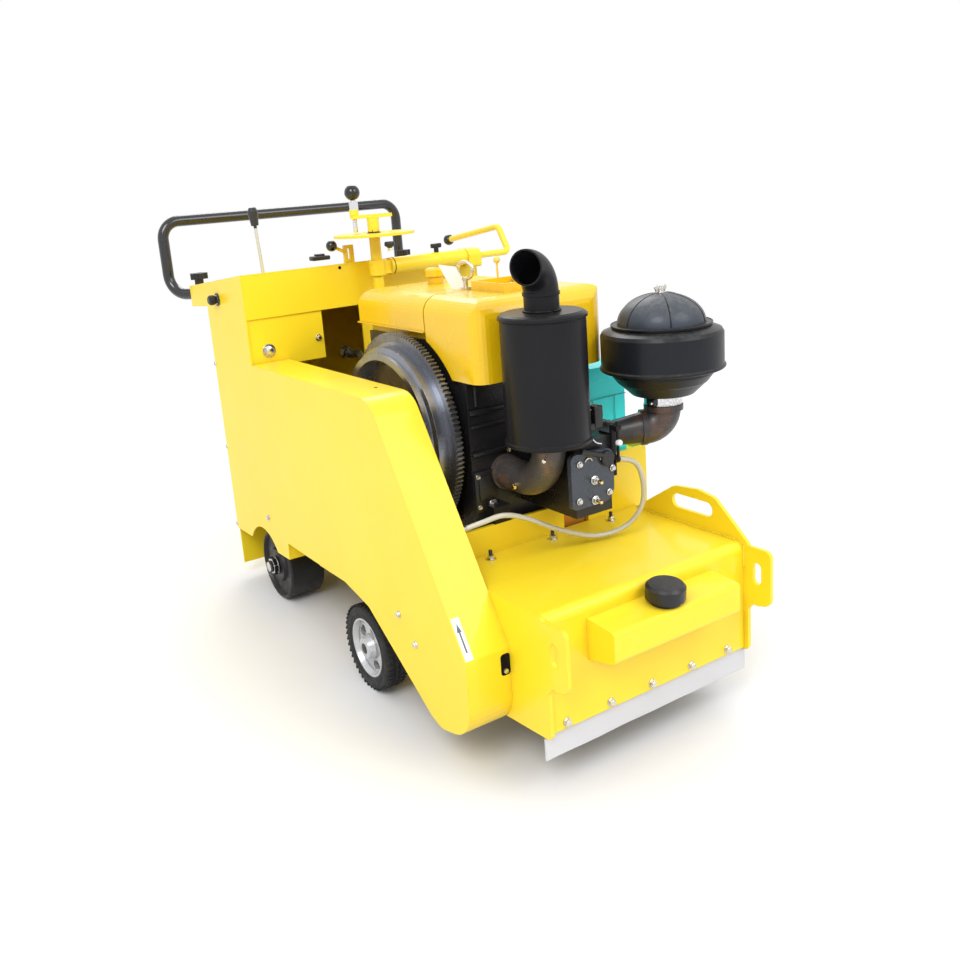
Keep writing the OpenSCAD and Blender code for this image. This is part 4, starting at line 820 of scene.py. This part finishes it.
# Depth crank: nut under the hub and the index pin's sleeve
crankNut = {"turned": [([(0, 0), (17, 0), (17, 1.8), (0, 1.8)], (*crank["axis"], 954.5), upwards, 28)],
            "hexBolts": [((*crank["axis"], 956), upwards, 25, 8)]}
buildPiece("crankNut", crankNut, [darkSteel], "black_paint", body="depth_crank")
pinSleeve = {"turned": [([(0, 0), (5.2, 0), (5.4, 1), (5.4, 28), (0, 28)], (*pinAt, 959), upwards, 20)]}
buildPiece("pinSleeve", pinSleeve, [brightSteel], "bare_steel", body="depth_crank")

# Engine front: cast ribs and the side cover on the crankcase
caseFront = -330
engineCasting = {
    "slabs": [((caseFront - 2, -149, z - half), (caseFront + 7, -40, z + half), 2.4)
              for z, half in ((628, 5), (600, 3), (545, 4))]
    + [((caseFront - 2, -149, 426), (caseFront + 5, -97, 510), 2),
       ((caseFront + 4, -141, 450), (caseFront + 8, -107, 500), 1.8),
       ((caseFront - 2, 52, 440), (caseFront + 16, 77, 560), 4)],
    "bars": [([(caseFront + 6, -135, 640), (caseFront + 6, -135, 678)], 2.6, 10)]}
buildPiece("engineCasting", engineCasting, [darkCast], "dark_cast")

engineBolts = {"hexBolts": [
    ((caseFront + 5, -110, 438), forwards, 13, 6, 10), ((caseFront + 5, -141, 438), forwards, 7, 3, 5),
    ((caseFront + 5, -141, 500), forwards, 7, 3, 5), ((-261, -106, 561), (0.2, -0.9, 0.1), 9, 5),
    ((-155, -106, 559), (0.3, -0.9, 0), 8, 4)]}
buildPiece("engineBolts", engineBolts, [zinc], "bare_steel")

brassTip = [(0, 0), (3.6, 0), (3.6, 9), (3, 10), (0, 10)]
brassFittings = {"hexBolts": [((-253, -106, 490), (0.1, -1, 0), 11, 7)],
                 "turned": [(brassTip, (x, -9, z), (1, 0, -0.08), 16) for x, z in ((-122, 505), (-125, 466))]}
buildPiece("brassFittings", brassFittings, [brass], "bare_steel")

# Rocker cover: bolts, the two fittings' nuts and a small handle
coverFront = -134
rockerBolts = {
    "hexBolts": [((coverFront, y, z), forwards, 9, 4, 6.5)
                 for y, z in ((12.8, 542.6), (35.8, 518.8), (-43, 542), (-47, 472), (26, 474))]
    + [((coverFront, -9, z), forwards, 12, 6, 9) for z in (505, 466)],
    "bars": [(arcPoints((coverFront + 1, -22, 541), 9, 20, 160, 12, "yz"), 1.6, 8)]}
buildPiece("rockerBolts", rockerBolts, [zinc], "bare_steel")

# The governor's arm and levers, and the bent wire that works them
governorArm = {
    "bars": [([(coverFront + 3, -40, 566), (coverFront + 5, -8, 556), (coverFront + 4, 24, 544)], 5, 12)],
    "turned": [([(0, 0), (15, 0), (15, 6), (13, 8), (0, 8)], (coverFront, 22, 541), forwards, 32)],
    "slabs": [((-166, 8, 598), (-144, 28, 640), 3), ((-160, -14, 596), (-146, 10, 608), 2.5)]}
buildPiece("governorArm", governorArm, [darkCast], "dark_cast")
throttleWire = {
    "bars": [(smoothLine([(-150, 2, 634), (-144, -12, 640), (-139, -18, 622), (-139, -14, 596), (-142, 4, 574),
                          (-146, 22, 566)], 8), 1.3, 8)],
    "hexBolts": [((-137, 54, 563), (1, 0, 0.2), 10, 9)]}
buildPiece("throttleWire", throttleWire, [whiteLabelAndGlint], "hose_pvc")

# Top of the engine: hopper bolts, the plate by the hoist eye and the seams of the battery's case
hopperFasteners = {"hexBolts": [((x, y, 846), upwards, 8, 4, 6) for x in (-436, -332) for y in (-41, 45)]}
buildPiece("hopperFasteners", hopperFasteners, [zinc], "bare_steel")

# The plate by the hoist eye is a bare steel bracket, and its white colour is a painted reflection
eyeCorners = [Vector(p) for p in ((-462, -46, 847), (-480, -70, 849), (-492, -90, 899), (-470, -63, 893))]
eyeOut = 1.2 * (eyeCorners[1] - eyeCorners[0]).cross(Vector(upwards)).normalized()
eyePlate = {"plates": [([p + eyeOut for p in eyeCorners], [p - eyeOut for p in eyeCorners])]}
buildPiece("eyePlate", eyePlate, [whiteLabelAndGlint], "bare_steel")

batterySeams = {"slabs": [((-320.2, y0, z0), (-319.6, y1, z1), 0) for y0, y1, z0, z1 in (
    (122, 243.4, 599.3, 601), (210.6, 212, 474, 600), (150.6, 152, 474, 600))]}
buildPiece("batterySeams", batterySeams, [batterySeam], "battery_case")

# Air cleaner: rings and pressed seams, the dome's shell, the wing nut and the band on the neck
cleaner = {"at": Vector((-172, 208, 628)), "dome": 85, "rise": 58, "base": 138, "seams": (-92, -32, 28, 88, 148, 208),
           "rings": ((30, 90), (38, 96), (46, 102)), "wingTilt": 32}


def overCleaner(x, y, z):
    return cleaner["at"] + Vector((x, y, z))


# A pressed seam from the dome's foot nearly to its top, at a bearing in degrees
def domeSeam(bearing):
    turn, points = math.radians(bearing), []
    for k in range(13):
        a = math.radians(2 + 78 * k / 12)
        out, rise = (cleaner["dome"] + 0.4) * math.cos(a), cleaner["rise"] * math.sin(a)
        points.append(overCleaner(out * math.cos(turn), out * math.sin(turn), cleaner["base"] + rise))
    return points, 1.5, 8


cleanerSeams = {
    "bars": [domeSeam(bearing) for bearing in cleaner["seams"]],
    "turned": [([(98, 0), (98.6, 1.2), (98, 2.4), (96, 2.6)], overCleaner(0, 0, 136.2), upwards, 96)]
    + [([(r - 1.5, -1.2), (r + 1.6, 0), (r - 1.5, 1.2)], overCleaner(0, 0, z), upwards, 96)
       for z, r in cleaner["rings"]]}
buildPiece("cleanerSeams", cleanerSeams, [cleanerBlack], "black_paint", creaseAngle=60)

domeWide, domeHigh = cleaner["dome"] + 0.5, cleaner["rise"] + 0.5
shell = [(domeWide * math.cos(a), domeHigh * math.sin(a)) for a in (math.radians(3.7 * k) for k in range(25))]
cleanerDome = {"turned": [([(domeWide, 0), *shell, (0, domeHigh)], overCleaner(0, 0, cleaner["base"]), upwards, 96)]}
buildPiece("cleanerDome", cleanerDome, [domeGrey], "black_paint", creaseAngle=60)

nut = [(0, 0), (11, 0), (11, 1.6), (6, 2), (5.5, 9), (3, 10), (3, 13), (0, 13)]
wingNut = {"turned": [(nut, overCleaner(0, 0, 196), upwards, 20)],
           "slabs": [(overCleaner(-1.4, side * 10 - 5, 199), overCleaner(1.4, side * 10 + 5, 211), 1.2, 0,
                      Matrix.Rotation(-side * math.radians(cleaner["wingTilt"]), 3, "X")) for side in (-1, 1)]}
buildPiece("wingNut", wingNut, [zinc], "bare_steel")

neckBand = {
    "turned": [([(36, -21), (38, -21), (38, -2), (36, -2)], overCleaner(0, 0, 0), upwards, 64)]
    + [([(37.4, -1), (39, -0.5), (39, 0.5), (37.4, 1)], overCleaner(0, 0, z), upwards, 64) for z in (-20, -3)],
    "slabs": [(overCleaner(8, -45, -19), overCleaner(20, -35, -4), 1.5, 1)],
    "hexBolts": [(overCleaner(14, -44, -12), leftwards, 7, 5)]}
buildPiece("neckBand", neckBand, [brightSteel, darkSteel], "bare_steel")
print("hood, console and engine details built")

# Front tyres. The tread's half section runs from the rim's seat to the middle; lug rows: place across, shift, skew
# in degrees, outer radius, half length
tread = {"axle": (-508, 133.27), "steps": 96, "lugs": 44, "lugHeight": 1.7, "lugWidth": 3.6, "lugBevel": 0.7,
         "middles": {"left": -306, "right": 258},
         "section": [(63.2, 23), (66, 24.6), (70, 24.2), (71, 25), (73, 25), (74, 24.4), (80, 25), (85, 24.2),
                     (88.6, 21), (89.8, 17), (89.8, 8), (88, 7.2), (88, 4.8), (90.2, 4)],
         "rows": [(-16.5, 0, 24, 92, 6.8), (16.5, 0.5, -24, 92, 6.8), (0, 0.25, 40, 91.8, 3.4)]}


# One lug: a slanted block that stands out of the tread at an angle round the axle
def treadLug(middle, angle, across, skew, high, span):
    x, z = tread["axle"]
    radius = high - tread["lugHeight"]
    at = Vector((x + radius * math.cos(angle), middle + across, z + radius * math.sin(angle)))
    turn = Matrix.Rotation(-angle, 3, "Y") @ Matrix.Rotation(math.radians(skew), 3, "X")
    half = Vector((tread["lugHeight"], span, tread["lugWidth"]))
    return at - half, at + half, tread["lugBevel"], 0, turn


for side, middle in tread["middles"].items():
    x, z = tread["axle"]
    profile = [(r, -across) for r, across in tread["section"]] + tread["section"][::-1]
    tyre = {"turned": [(profile + profile[:1], (x, middle, z), rightwards, tread["steps"])],
            "slabs": [treadLug(middle, 2 * math.pi * (k + shift) / tread["lugs"], across, skew, high, span)
                      for k in range(tread["lugs"]) for across, shift, skew, high, span in tread["rows"]]}
    piece = buildPiece("tyreTread" + side.capitalize(), tyre, [tyreRubber], "tyre_rubber", body="front_wheel_" + side)
    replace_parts(piece, "tyre_" + side)

# Hub caps and the rear axle's nuts
hubCaps = {"left": (-333, leftwards), "right": (285, rightwards)}
hubCap = [(0, -2), (13, -2), (13, 0.6), (11, 2.4), (6, 3), (0, 3)]
for side, (across, out) in hubCaps.items():
    cap = {"turned": [(hubCap, (tread["axle"][0], across, tread["axle"][1]), out)]}
    buildPiece("hubCap" + side.capitalize(), cap, [darkSteel], "black_paint", body="front_wheel_" + side)

rearAxleNuts = {"hexBolts": []}
for across, side in ((-317.5, -1), (269.5, 1)):
    rearAxleNuts["hexBolts"] += [((-1005, across, 167.4), (0, side, 0), 36, 10, 23),
                                 ((-1005, across + side * 11.6, 167.4), (0, side, 0), 24, 8, 0, 0.6)]
buildPiece("rearAxleNuts", rearAxleNuts, [zinc], "bare_steel", body="rear_fork")
print("running gear details built")
